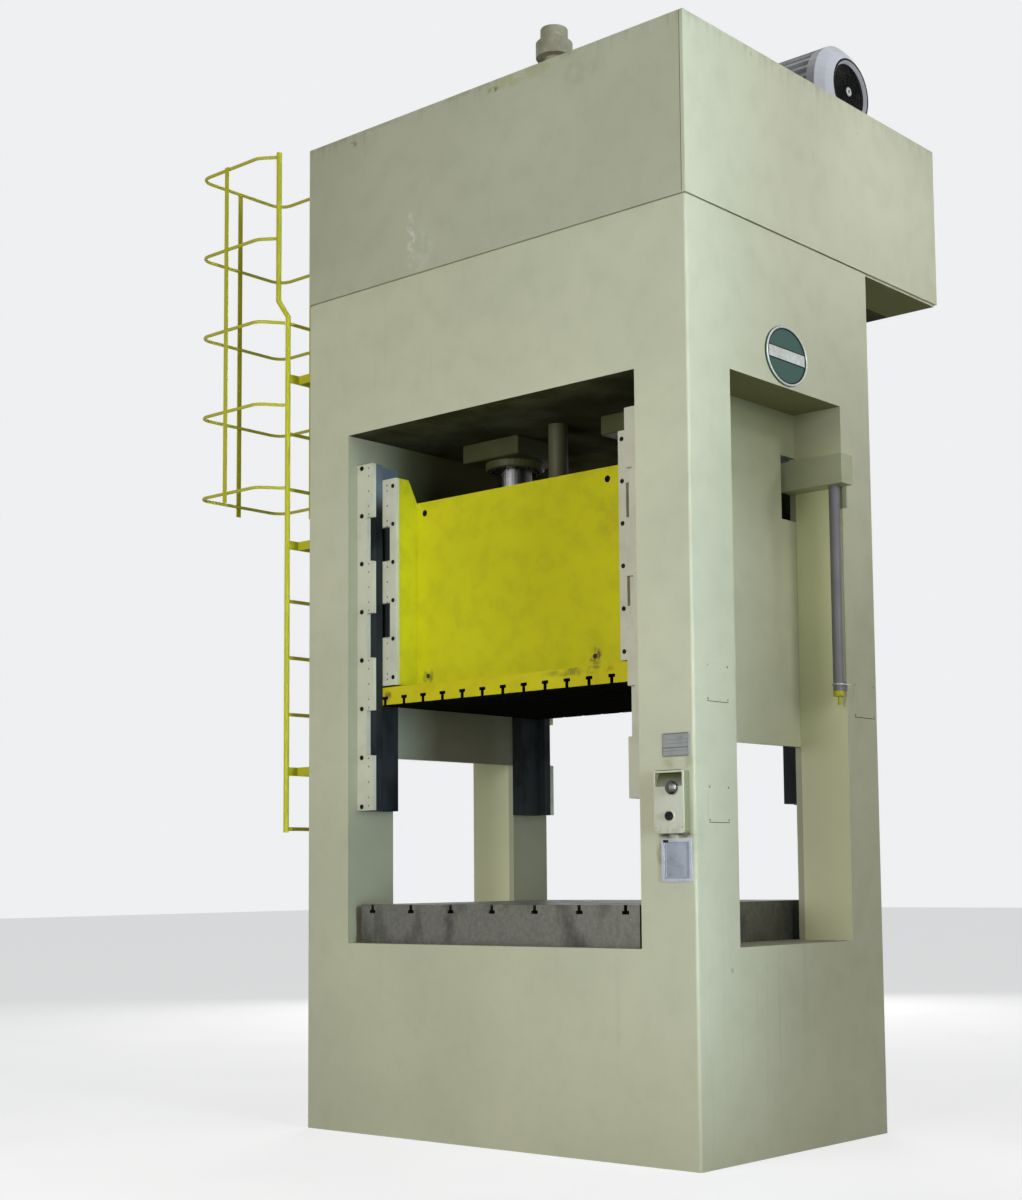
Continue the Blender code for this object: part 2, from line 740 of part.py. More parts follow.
def build_guides():
    """Gib bars and machined gibs on the frame, wear plates on the slide's ears."""
    bar_points = notched_outline(GIB_BAR_WIDTH, GIB_BAR_SPINE, GIB_LENGTH, GIB_BOLT_PITCH, 8)
    wear_length = EAR_TOP - EAR_BOTTOM
    wear_points = notched_outline(
        WEAR_PLATE_WIDTH, WEAR_PLATE_SPINE, wear_length, WEAR_BOLT_PITCH, 6
    )
    for depth_side, depth_name in ((-1, "front"), (1, "rear")):
        for side, side_name in ((-1, "left"), (1, "right")):
            ending = depth_name + "_" + side_name
            bar_middle = depth_side * (GIB_BAR_FACE - GIB_BAR_THICKNESS / 2)
            bar_edge = side * (REVEAL - SEAT)
            bar = make_outline(
                "gib_bar_" + ending,
                [(-side * x, z) for x, z in bar_points],
                GIB_BAR_THICKNESS,
                (bar_edge, bar_middle, GIB_TOP - GIB_LENGTH),
                (math.radians(90), 0, 0),
            )
            finish(as_mesh(bar), GUIDE_CREAM)

            gib_front = GIB_BAR_BACK - SEAT
            guide_face = WEAR_FACE + RUNNING
            side_face = EAR_OUTER + RUNNING
            outer = REVEAL - SEAT
            gib_points = [
                (side * outer, depth_side * gib_front),
                (side * GIB_BAR_INNER, depth_side * gib_front),
                (side * GIB_BAR_INNER, depth_side * guide_face),
                (side * side_face, depth_side * guide_face),
                (side * side_face, depth_side * (guide_face - GIB_SIDE_LEG_DEPTH)),
                (side * outer, depth_side * (guide_face - GIB_SIDE_LEG_DEPTH)),
            ]
            gib = make_outline(
                "gib_" + ending,
                gib_points,
                GIB_LENGTH,
                (0, 0, GIB_TOP - GIB_LENGTH / 2),
            )
            finish(as_mesh(gib), MACHINED)

            wear_middle = depth_side * (WEAR_FACE - WEAR_PLATE_THICKNESS / 2)
            wear = make_outline(
                "wear_plate_" + ending,
                [(side * x, z) for x, z in wear_points],
                WEAR_PLATE_THICKNESS,
                (side * EAR_INNER, wear_middle, EAR_BOTTOM),
                (math.radians(90), 0, 0),
            )
            finish(as_mesh(wear), GUIDE_CREAM)


def build_slide():
    """Welded slide: a box with an open tray on top and a guided ear at each corner."""
    slide = make_box(
        "slide",
        (-SLIDE_WIDTH / 2, -SLIDE_DEPTH / 2, SLIDE_BOTTOM),
        (SLIDE_WIDTH / 2, SLIDE_DEPTH / 2, SLIDE_TOP),
    )
    ears = []
    for depth_side in (-1, 1):
        for side in (-1, 1):
            face = depth_side * EAR_FACE
            flat = depth_side * (EAR_FACE - EAR_FLAT)
            plate_top = depth_side * (SLIDE_DEPTH / 2 - SLIDE_WALL / 2)
            back = depth_side * (EAR_FACE - EAR_REACH)
            ear = make_outline(
                "ear",
                [
                    (face, EAR_BOTTOM),
                    (face, EAR_TOP),
                    (flat, EAR_TOP),
                    (plate_top, SLIDE_TOP - SLIDE_WALL / 2),
                    (back, SLIDE_TOP - SLIDE_WALL / 2),
                    (back, EAR_BOTTOM),
                ],
                WEAR_PLATE_WIDTH,
                (side * (EAR_INNER + EAR_OUTER) / 2, 0, 0),
                (math.radians(90), 0, math.radians(90)),
            )
            ears.append(as_mesh(ear))
    fuse(slide, *ears)

    cutters = []
    tray_half = SLIDE_WIDTH / 2 - SLIDE_WALL
    tray_depth = SLIDE_DEPTH / 2 - SLIDE_WALL
    rib = SLIDE_RIB_SPREAD / 2
    bays = (
        (-tray_half, -rib - SLIDE_WALL / 2),
        (-rib + SLIDE_WALL / 2, rib - SLIDE_WALL / 2),
        (rib + SLIDE_WALL / 2, tray_half),
    )
    for low, high in bays:
        cutters.append(
            make_box(
                "tray_cutter",
                (low, -tray_depth, TRAY_FLOOR),
                (high, tray_depth, SLIDE_TOP + CUT),
            )
        )
    for hole_x in SLIDE_HOLE_X:
        cutters.append(
            make_cylinder(
                "lifting_hole_cutter",
                SLIDE_HOLE_RADIUS,
                (hole_x, -SLIDE_DEPTH / 2 - CUT, SLIDE_TOP - SLIDE_HOLE_DROP),
                SLIDE_HOLE_DEPTH + CUT,
                "Y",
                16,
            )
        )
    cut(slide, *cutters)
    finish(slide, SLIDE_YELLOW)


def build_cylinder(side, name):
    """Barrel through the crown, square lower head, gland ring, rod with its piston."""
    x = side * CYLINDER_SPREAD / 2
    barrel_bottom = CROWN_BOTTOM + SEAT
    length = BARREL_TOP - barrel_bottom
    roof = BARREL_ROOF - barrel_bottom
    barrel = make_turned(
        "cylinder_barrel_" + name,
        [
            (BARREL_RADIUS, length),
            (BARREL_RADIUS, 0),
            (BARREL_BORE, 0),
            (BARREL_BORE, roof),
            (HEAD_PORT_RADIUS, roof),
            (HEAD_PORT_RADIUS, length),
        ],
        (x, 0, barrel_bottom),
    )
    finish(barrel, CREAM, smooth=True)

    half = FLANGE_SIDE / 2
    flange_top = CROWN_BOTTOM - SEAT
    flange = make_box(
        "cylinder_flange_" + name,
        (x - half, -half, flange_top - FLANGE_THICKNESS),
        (x + half, half, flange_top),
    )
    bore = make_cylinder(
        "rod_bore_cutter",
        ROD_RADIUS + RUNNING,
        (x, 0, flange_top - FLANGE_THICKNESS - CUT),
        FLANGE_THICKNESS + 2 * CUT,
    )
    soften(flange, FLANGE_EDGE, 1)
    finish(cut(flange, bore), CREAM)

    gland_top = flange_top - FLANGE_THICKNESS - SEAT
    gland = make_turned(
        "gland_ring_" + name,
        [
            (ROD_RADIUS + RUNNING, 0),
            (GLAND_RADIUS, 0),
            (GLAND_RADIUS, -GLAND_THICKNESS + GLAND_CHAMFER),
            (GLAND_RADIUS - GLAND_CHAMFER, -GLAND_THICKNESS),
            (ROD_RADIUS + RUNNING, -GLAND_THICKNESS),
        ],
        (x, 0, gland_top),
    )
    finish(gland, DARK_STEEL, smooth=True)

    foot = TRAY_FLOOR + SEAT
    piston_top = BARREL_ROOF - PISTON_TOP_GAP
    piston_bottom = piston_top - PISTON_THICKNESS
    piston_radius = BARREL_BORE - RUNNING
    rod = make_turned(
        "piston_rod_" + name,
        [
            (0, piston_top - foot),
            (piston_radius, piston_top - foot),
            (piston_radius, piston_bottom - foot),
            (ROD_RADIUS, piston_bottom - foot),
            (ROD_RADIUS, ROD_FOOT_THICKNESS),
            (ROD_FOOT_RADIUS, ROD_FOOT_THICKNESS),
            (ROD_FOOT_RADIUS, 0),
            (0, 0),
        ],
        (x, 0, foot),
    )
    finish(rod, CHROME, smooth=True)


def build_prefill(side, name):
    """Prefill valve on the cylinder head with its suction and pressure pipes."""
    x = side * CYLINDER_SPREAD / 2
    body = make_turned(
        "prefill_valve_" + name,
        [
            (0, PREFILL_HEIGHT),
            (PREFILL_CAP_RADIUS, PREFILL_HEIGHT),
            (PREFILL_CAP_RADIUS, PREFILL_HEIGHT - PREFILL_CAP_STEP),
            (PREFILL_RADIUS, PREFILL_HEIGHT - PREFILL_CAP_STEP),
            (PREFILL_RADIUS, PREFILL_FLANGE_THICKNESS),
            (PREFILL_FLANGE_RADIUS, PREFILL_FLANGE_THICKNESS),
            (PREFILL_FLANGE_RADIUS, 0),
            (0, 0),
        ],
        (x, 0, PREFILL_BOTTOM),
    )
    port_z = PREFILL_BOTTOM + SUCTION_RISE
    port_face = PREFILL_RADIUS + PORT_STAND_OUT
    port = make_cylinder(
        "suction_port", SUCTION_RADIUS, (x, 0, port_z), port_face, "Y", PART_STEPS
    )
    flange = make_cylinder(
        "suction_port_flange",
        PIPE_FLANGE_RADIUS,
        (x, port_face - PIPE_FLANGE_THICKNESS, port_z),
        PIPE_FLANGE_THICKNESS,
        "Y",
        PART_STEPS,
    )
    body = as_mesh(body)
    finish(fuse(body, port, flange), DARK_STEEL, smooth=True)

    pipe_start = port_face + SEAT
    pipe_length = TANK_FRONT - SEAT - pipe_start
    pipe = make_turned(
        "suction_pipe_" + name,
        [
            (0, pipe_length),
            (PIPE_FLANGE_RADIUS, pipe_length),
            (PIPE_FLANGE_RADIUS, pipe_length - PIPE_FLANGE_THICKNESS),
            (SUCTION_RADIUS, pipe_length - PIPE_FLANGE_THICKNESS),
            (SUCTION_RADIUS, PIPE_FLANGE_THICKNESS),
            (PIPE_FLANGE_RADIUS, PIPE_FLANGE_THICKNESS),
            (PIPE_FLANGE_RADIUS, 0),
            (0, 0),
        ],
        (x, pipe_start, port_z),
        "Y",
        PART_STEPS,
    )
    finish(pipe, CREAM, smooth=True)

    manifold_front = MOTOR_Y - MANIFOLD_DEPTH / 2
    outlet_x = MANIFOLD_X + side * MANIFOLD_LENGTH / 4
    outlet_z = TANK_TOP + MANIFOLD_HEIGHT / 2
    valve_top = PREFILL_BOTTOM + PREFILL_HEIGHT
    run_y = manifold_front - PRESSURE_RUN + side * PRESSURE_STAGGER
    route = round_path(
        [
            (outlet_x, manifold_front - SEAT, outlet_z),
            (outlet_x, run_y, outlet_z),
            (x, run_y, outlet_z),
            (x, 0, outlet_z),
            (x, 0, valve_top + SEAT),
        ],
        PRESSURE_BEND,
    )
    pressure_pipe = make_tube("pressure_pipe_" + name, route, PRESSURE_RADIUS, 2)
    finish(as_mesh(pressure_pipe), DARK_STEEL, smooth=True)


def build_stop_rod():
    """Rod on the slide, nut at its top, and the tube that the nut lands on."""
    foot = TRAY_FLOOR + SEAT
    length = STOP_ROD_TOP - foot
    dome = STOP_ROD_DOME
    rod = make_turned(
        "stop_rod",
        [
            (0, length),
            (STOP_ROD_RADIUS - dome, length),
            (STOP_ROD_RADIUS - dome / 3, length - dome / 3),
            (STOP_ROD_RADIUS, length - dome),
            (STOP_ROD_RADIUS, STOP_ROD_FOOT_HEIGHT),
            (STOP_ROD_FOOT_RADIUS - STOP_ROD_FOOT_TAPER, STOP_ROD_FOOT_HEIGHT),
            (STOP_ROD_FOOT_RADIUS, 0),
            (0, 0),
        ],
        (0, STOP_ROD_Y, foot),
    )
    finish(rod, CREAM, smooth=True)

    nut = make_turned(
        "stop_nut",
        [
            (STOP_ROD_RADIUS + SEAT, STOP_NUT_HEIGHT),
            (STOP_NUT_RADIUS - STOP_NUT_CHAMFER, STOP_NUT_HEIGHT),
            (STOP_NUT_RADIUS, STOP_NUT_HEIGHT - STOP_NUT_CHAMFER),
            (STOP_NUT_RADIUS, 0),
            (STOP_ROD_RADIUS + SEAT, 0),
        ],
        (0, STOP_ROD_Y, STOP_NUT_BOTTOM),
    )
    finish(nut, CREAM, smooth=True)

    tube_bottom = DECK_TOP + SEAT
    tube_length = STOP_TUBE_TOP - tube_bottom
    tube = make_turned(
        "stop_tube",
        [
            (STOP_ROD_RADIUS + RUNNING, tube_length),
            (STOP_TUBE_RADIUS, tube_length),
            (STOP_TUBE_RADIUS, STOP_TUBE_FLANGE_THICKNESS),
            (STOP_TUBE_FLANGE_RADIUS, STOP_TUBE_FLANGE_THICKNESS),
            (STOP_TUBE_FLANGE_RADIUS, 0),
            (STOP_ROD_RADIUS + RUNNING, 0),
        ],
        (0, STOP_ROD_Y, tube_bottom),
    )
    finish(tube, CREAM, smooth=True)


def make_pan(name, low, high, open_axis, open_side):
    """Sheet panel folded on all edges: a box skin without its inner face."""
    obj = make_box(name, low, high)
    mesh_data = bmesh.new()
    mesh_data.from_mesh(obj.data)
    inner = [face for face in mesh_data.faces if face.normal[open_axis] * open_side > 0.9]
    bmesh.ops.delete(mesh_data, geom=inner, context="FACES")
    mesh_data.to_mesh(obj.data)
    mesh_data.free()
    sheet = obj.modifiers.new("sheet", "SOLIDIFY")
    sheet.thickness = GUARD_SHEET
    sheet.offset = -1
    sheet.use_even_offset = True
    return obj


def build_deck_and_guards():
    deck = make_box(
        "crown_deck",
        (-HALF_WIDTH + DECK_INSET, -HALF_DEPTH + DECK_INSET, DECK_BOTTOM),
        (HALF_WIDTH - DECK_INSET, DECK_REAR - DECK_INSET, DECK_TOP),
    )
    holes = [
        make_cylinder(
            "deck_barrel_cutter",
            BARREL_RADIUS + RUNNING,
            (side * CYLINDER_SPREAD / 2, 0, DECK_BOTTOM - CUT),
            DECK_THICKNESS + 2 * CUT,
        )
        for side in (-1, 1)
    ]
    holes.append(
        make_cylinder(
            "deck_stop_rod_cutter",
            STOP_ROD_RADIUS + RUNNING,
            (0, STOP_ROD_Y, DECK_BOTTOM - CUT),
            DECK_THICKNESS + 2 * CUT,
        )
    )
    finish(cut(deck, *holes), CREAM)

    top = GUARD_BOTTOM + GUARD_HEIGHT
    inner = HALF_WIDTH - GUARD_EDGE
    doorway_end = LADDER_NEAR_Y + LADDER_DOORWAY
    panels = (
        ("guard_front", (-HALF_WIDTH, -HALF_DEPTH), (inner - SEAT, -HALF_DEPTH + GUARD_EDGE), 1, 1),
        ("guard_right", (inner, -HALF_DEPTH), (HALF_WIDTH, DECK_REAR), 0, -1),
        ("guard_left", (-HALF_WIDTH, doorway_end), (-inner, DECK_REAR), 0, 1),
        (
            "guard_rear",
            (-inner + SEAT, DECK_REAR - GUARD_EDGE),
            (inner - SEAT, DECK_REAR),
            1,
            -1,
        ),
    )
    for name, low, high, axis, side in panels:
        panel = make_pan(name, (*low, GUARD_BOTTOM), (*high, top), axis, side)
        finish(panel, GUARD_CREAM)


def build_reservoir():
    """Oil tank with its lid and two feet, welded as one."""
    tank_rear = TANK_FRONT + TANK_DEPTH
    tank = make_box(
        "reservoir",
        (TANK_LEFT, TANK_FRONT, TANK_BOTTOM + TANK_FOOT),
        (TANK_RIGHT, tank_rear, TANK_TOP - TANK_LID),
    )
    extras = [
        make_box(
            "tank_lid",
            (TANK_LEFT - TANK_LID_LAP, TANK_FRONT + TANK_LID_LAP, TANK_TOP - TANK_LID - WELD_LAP),
            (TANK_RIGHT + TANK_LID_LAP, tank_rear + TANK_LID_LAP, TANK_TOP),
        )
    ]
    for foot_x in (TANK_LEFT + TANK_FOOT_INSET, TANK_RIGHT - TANK_FOOT_INSET - TANK_FOOT_WIDTH):
        extras.append(
            make_box(
                "tank_foot",
                (foot_x, TANK_FRONT + TANK_FOOT_MARGIN, TANK_BOTTOM),
                (
                    foot_x + TANK_FOOT_WIDTH,
                    tank_rear - TANK_FOOT_MARGIN,
                    TANK_BOTTOM + TANK_FOOT + WELD_LAP,
                ),
            )
        )
    finish(fuse(tank, *extras), CREAM)


def build_motor():
    """Finned motor on feet with its terminal box, and the fan cowl at its end."""
    flank = MOTOR_FIN_SHARE / 3
    points = []
    for fin in range(MOTOR_FINS):
        for share, reach in (
            (0, MOTOR_RADIUS),
            (MOTOR_FIN_SHARE, MOTOR_RADIUS),
            (MOTOR_FIN_SHARE + flank, MOTOR_CORE_RADIUS),
            (1 - flank, MOTOR_CORE_RADIUS),
        ):
            angle = 2 * math.pi * (fin + share) / MOTOR_FINS
            points.append((reach * math.cos(angle), reach * math.sin(angle)))
    motor = as_mesh(
        make_outline(
            "motor",
            points,
            MOTOR_LENGTH,
            (MOTOR_LEFT + MOTOR_LENGTH / 2, MOTOR_Y, MOTOR_AXIS_HEIGHT),
            (math.radians(90), 0, math.radians(90)),
        )
    )
    extras = []
    foot_top = MOTOR_AXIS_HEIGHT - MOTOR_FOOT_DROP
    for end in (
        MOTOR_LEFT + MOTOR_FOOT_INSET,
        MOTOR_RIGHT - MOTOR_FOOT_INSET - MOTOR_FOOT_LENGTH,
    ):
        for side in (-1, 1):
            middle = MOTOR_Y + side * MOTOR_FOOT_SPREAD / 2
            extras.append(
                make_box(
                    "motor_foot",
                    (end, middle - MOTOR_FOOT_WIDTH / 2, TANK_TOP + SEAT),
                    (end + MOTOR_FOOT_LENGTH, middle + MOTOR_FOOT_WIDTH / 2, foot_top),
                )
            )
    box_left = MOTOR_LEFT + TERMINAL_BOX_INSET
    box_front = MOTOR_Y + MOTOR_CORE_RADIUS - CUT
    half_box = TERMINAL_BOX_HEIGHT / 2
    extras.append(
        make_box(
            "terminal_box",
            (box_left, box_front, MOTOR_AXIS_HEIGHT - half_box),
            (
                box_left + TERMINAL_BOX_LENGTH,
                box_front + TERMINAL_BOX_DEPTH,
                MOTOR_AXIS_HEIGHT + half_box,
            ),
        )
    )
    finish(fuse(motor, *extras), MOTOR_GREY)

    cowl = make_turned(
        "motor_fan_cowl",
        [
            (0, COWL_LENGTH - COWL_RIM),
            (COWL_FACE_RADIUS - COWL_RIM, COWL_LENGTH - COWL_RIM),
            (COWL_FACE_RADIUS - COWL_RIM / 2, COWL_LENGTH),
            (COWL_FACE_RADIUS, COWL_LENGTH),
            (COWL_FACE_RADIUS + COWL_SHOULDER, COWL_LENGTH - COWL_RIM),
            (MOTOR_RADIUS, COWL_SKIRT),
            (MOTOR_RADIUS, 0),
            (0, 0),
        ],
        (MOTOR_RIGHT + SEAT, MOTOR_Y, MOTOR_AXIS_HEIGHT),
        "X",
    )
    finish(cowl, MOTOR_GREY, smooth=True)


def build_pump():
    """Bell housing on the motor's drive end and the pump bolted to it."""
    bell = make_turned(
        "bell_housing",
        [
            (0, BELL_LENGTH),
            (BELL_RADIUS + BELL_LIP, BELL_LENGTH),
            (BELL_RADIUS + BELL_LIP, BELL_LENGTH - BELL_FLANGE),
            (BELL_RADIUS, BELL_LENGTH - BELL_FLANGE),
            (BELL_WAIST_RADIUS, BELL_FLANGE),
            (BELL_RADIUS, BELL_FLANGE),
            (BELL_RADIUS, 0),
            (0, 0),
        ],
        (MOTOR_LEFT - SEAT - BELL_LENGTH, MOTOR_Y, MOTOR_AXIS_HEIGHT),
        "X",
    )
    finish(bell, CREAM, smooth=True)

    pump_right = MOTOR_LEFT - 2 * SEAT - BELL_LENGTH
    pump = make_turned(
        "pump",
        [
            (0, PUMP_LENGTH),
            (PUMP_FLANGE_RADIUS, PUMP_LENGTH),
            (PUMP_FLANGE_RADIUS, PUMP_LENGTH - BELL_FLANGE),
            (PUMP_RADIUS, PUMP_LENGTH - BELL_FLANGE),
            (PUMP_RADIUS, PUMP_CASE_LENGTH),
            (PUMP_CASE_RADIUS, PUMP_CASE_LENGTH),
            (PUMP_CASE_RADIUS, 0),
            (0, 0),
        ],
        (pump_right - PUMP_LENGTH, MOTOR_Y, MOTOR_AXIS_HEIGHT),
        "X",
    )
    pump = as_mesh(pump)
    half = PEDESTAL_SIDE / 2
    pedestal = make_box(
        "pump_pedestal",
        (pump_right - PEDESTAL_INSET - PEDESTAL_SIDE, MOTOR_Y - half, TANK_TOP + SEAT),
        (pump_right - PEDESTAL_INSET, MOTOR_Y + half, MOTOR_AXIS_HEIGHT - half),
    )
    finish(fuse(pump, pedestal), DARK_STEEL, smooth=True)


def build_manifold():
    """Valve block on the tank lid with three solenoid valves across it."""
    half = MANIFOLD_LENGTH / 2
    block_top = TANK_TOP + MANIFOLD_HEIGHT
    manifold = make_box(
        "valve_manifold",
        (MANIFOLD_X - half, MOTOR_Y - MANIFOLD_DEPTH / 2, TANK_TOP + SEAT),
        (MANIFOLD_X + half, MOTOR_Y + MANIFOLD_DEPTH / 2, block_top),
    )
    valves = []
    for index in range(VALVE_COUNT):
        valve_y = MOTOR_Y + (index - (VALVE_COUNT - 1) / 2) * MANIFOLD_DEPTH / VALVE_COUNT
        valves.append(
            make_box(
                "solenoid_valve",
                (MANIFOLD_X - VALVE_LENGTH / 2, valve_y - VALVE_WIDTH / 2, block_top - WELD_LAP),
                (MANIFOLD_X + VALVE_LENGTH / 2, valve_y + VALVE_WIDTH / 2, block_top + VALVE_HEIGHT),
            )
        )
    finish(fuse(manifold, *valves), DARK_STEEL)


def build_transducer():
    """Bracket arm through the right web, and the tube that hangs from it."""
    arm = make_box(
        "transducer_arm",
        (ARM_START, ARM_BACK - ARM_DEPTH, ARM_BOTTOM),
        (ARM_END, ARM_BACK, ARM_BOTTOM + ARM_HEIGHT),
    )
    half_plate = TUBE_PLATE_WIDTH / 2
    back_plate = make_box(
        "tube_plate",
        (TUBE_X - half_plate, ARM_BACK - TUBE_PLATE_THICKNESS, ARM_BOTTOM - TUBE_PLATE_DROP),
        (TUBE_X + half_plate, ARM_BACK, ARM_BOTTOM + WELD_LAP),
    )
    finish(fuse(arm, back_plate), CREAM)

    tube_y = ARM_BACK - ARM_DEPTH / 2
    tube = make_cylinder(
        "transducer_tube",
        TUBE_RADIUS,
        (TUBE_X, tube_y, TUBE_BOTTOM),
        ARM_BOTTOM - SEAT - TUBE_BOTTOM,
        "Z",
        PART_STEPS,
    )
    clip = make_box(
        "tube_clip",
        (TUBE_X - TUBE_CLIP_WIDTH / 2, tube_y, TUBE_BOTTOM + TUBE_CLIP_HEIGHT),
        (TUBE_X + TUBE_CLIP_WIDTH / 2, ARM_BACK, TUBE_BOTTOM + 2 * TUBE_CLIP_HEIGHT),
    )
    finish(fuse(tube, clip), TUBE_GREY, smooth=True)


def build_operator_box():
    """Box on the right front column, scooped out at the top behind its palm button."""
    back = -HALF_DEPTH - SEAT
    face = back - BOX_DEPTH
    top = BOX_BOTTOM + BOX_HEIGHT
    half = BOX_WIDTH / 2
    box = make_box("operator_box", (BOX_X - half, face, BOX_BOTTOM), (BOX_X + half, back, top))
    mesh_data = bmesh.new()
    mesh_data.from_mesh(box.data)
    corners = [
        edge
        for edge in mesh_data.edges
        if abs(edge.verts[0].co.y - edge.verts[1].co.y) > BOX_EDGE
    ]
    bmesh.ops.bevel(
        mesh_data, geom=corners, offset=BOX_CORNER, segments=3, profile=0.5, affect="EDGES"
    )
    rim = [edge for edge in mesh_data.edges if all(vert.co.y < 0 for vert in edge.verts)]
    bmesh.ops.bevel(mesh_data, geom=rim, offset=BOX_EDGE, segments=2, profile=0.5, affect="EDGES")
    mesh_data.to_mesh(box.data)
    mesh_data.free()

    scoop_top = top - SCOOP_WALL
    slope = SCOOP_HEIGHT / SCOOP_DEPTH
    cutters = [
        as_mesh(
            make_outline(
                "scoop_cutter",
                [
                    (face - CUT, scoop_top),
                    (face + SCOOP_DEPTH, scoop_top),
                    (face - CUT, scoop_top - SCOOP_HEIGHT - CUT * slope),
                ],
                BOX_WIDTH - 2 * SCOOP_WALL,
                (BOX_X, 0, 0),
                (math.radians(90), 0, math.radians(90)),
            )
        )
    ]
    buttons = (
        ("palm_button", PALM_BUTTON_X, PALM_BUTTON_DROP, PALM_BUTTON_RADIUS, PALM_BUTTON_DOME, SILVER),
        ("stop_button", KNOB_BUTTON_X, KNOB_BUTTON_DROP, KNOB_BUTTON_RADIUS, KNOB_BUTTON_DOME, BLACK),
    )
    head_gap = BUTTON_TRAVEL + RUNNING
    for name, offset, drop, radius, dome, material in buttons:
        stem_radius = radius * BUTTON_STEM_SHARE
        cutters.append(
            make_cylinder(
                name + "_well_cutter",
                stem_radius + RUNNING,
                (BOX_X + offset, face - CUT, top - drop),
                CUT + BUTTON_STEM_DEPTH + BUTTON_TRAVEL + RUNNING,
                "Y",
                PART_STEPS,
            )
        )
        crown = [(radius, -head_gap)]
        for step in range(BUTTON_ARC_STEPS):
            angle = math.radians(90) * step / BUTTON_ARC_STEPS
            rise = BUTTON_PROUD - BUTTON_EDGE + (BUTTON_EDGE + dome) * math.sin(angle)
            crown.append((radius * math.cos(angle), -rise))
        button = make_turned(
            name,
            [(0, BUTTON_STEM_DEPTH), (stem_radius, BUTTON_STEM_DEPTH), (stem_radius, -head_gap)]
            + crown
            + [(0, -BUTTON_PROUD - dome)],
            (BOX_X + offset, face, top - drop),
            "Y",
            PART_STEPS,
        )
        finish(button, material, smooth=True)
    cut(box, *cutters)
    finish(box, GUIDE_CREAM)


def build_oval_plate():
    plate = make_cylinder(
        "oval_plate", 0.5, (HALF_WIDTH + SEAT, OVAL_Y, OVAL_Z), PLATE_THICKNESS, "X", 40
    )
    bmesh_data = bmesh.new()
    bmesh_data.from_mesh(plate.data)
    bmesh.ops.scale(
        bmesh_data, vec=(1, OVAL_WIDTH, OVAL_HEIGHT), verts=bmesh_data.verts
    )
    bmesh_data.to_mesh(plate.data)
    bmesh_data.free()
    finish(plate, BADGE, smooth=True)


def build_ladder():
    """Rails with a flared top, rungs and wall brackets as one welded ladder."""
    rung_top = LADDER_BOTTOM + RUNG_PITCH * (RUNG_COUNT - 1)
    knee = rung_top + RAIL_KNEE
    parts = []
    for y, flare in ((LADDER_NEAR_Y, -EXTENSION_FLARE), (LADDER_FAR_Y, EXTENSION_FLARE)):
        rail = make_tube(
            "ladder_rail",
            [
                (LADDER_X, y, LADDER_BOTTOM - RAIL_FOOT),
                (LADDER_X, y, knee),
                (LADDER_X, y + flare, knee + RAIL_KNEE_HEIGHT),
                (LADDER_X, y + flare, LADDER_TOP),
            ],
            RAIL_RADIUS,
            4,
        )
        parts.append(as_mesh(rail))
    for index in range(RUNG_COUNT):
        height = LADDER_BOTTOM + index * RUNG_PITCH
        parts.append(
            make_cylinder(
                "rung",
                RUNG_RADIUS,
                (LADDER_X, LADDER_NEAR_Y, height),
                LADDER_SPACING,
                "Y",
                RUNG_SIDES,
            )
        )
    half_thick = WALL_BRACKET_THICKNESS / 2
    for rung in WALL_BRACKET_RUNGS:
        bottom = LADDER_BOTTOM + rung * RUNG_PITCH - WALL_BRACKET_HEIGHT / 2
        top = bottom + WALL_BRACKET_HEIGHT
        parts.append(
            make_box(
                "bracket_bar",
                (LADDER_X, LADDER_NEAR_Y, bottom),
                (LADDER_X + WALL_BRACKET_THICKNESS, LADDER_FAR_Y, top),
            )
        )
        for inset in WALL_BRACKET_INSETS:
            leg_y = inset - HALF_DEPTH
            parts.append(
                make_box(
                    "bracket_leg",
                    (LADDER_X + WELD_LAP, leg_y - half_thick, bottom),
                    (-HALF_WIDTH - SEAT, leg_y + half_thick, top),
                )
            )
    ladder = parts[0]
    ladder.name = "ladder"
    finish(fuse(ladder, *parts[1:]), RAIL_YELLOW)


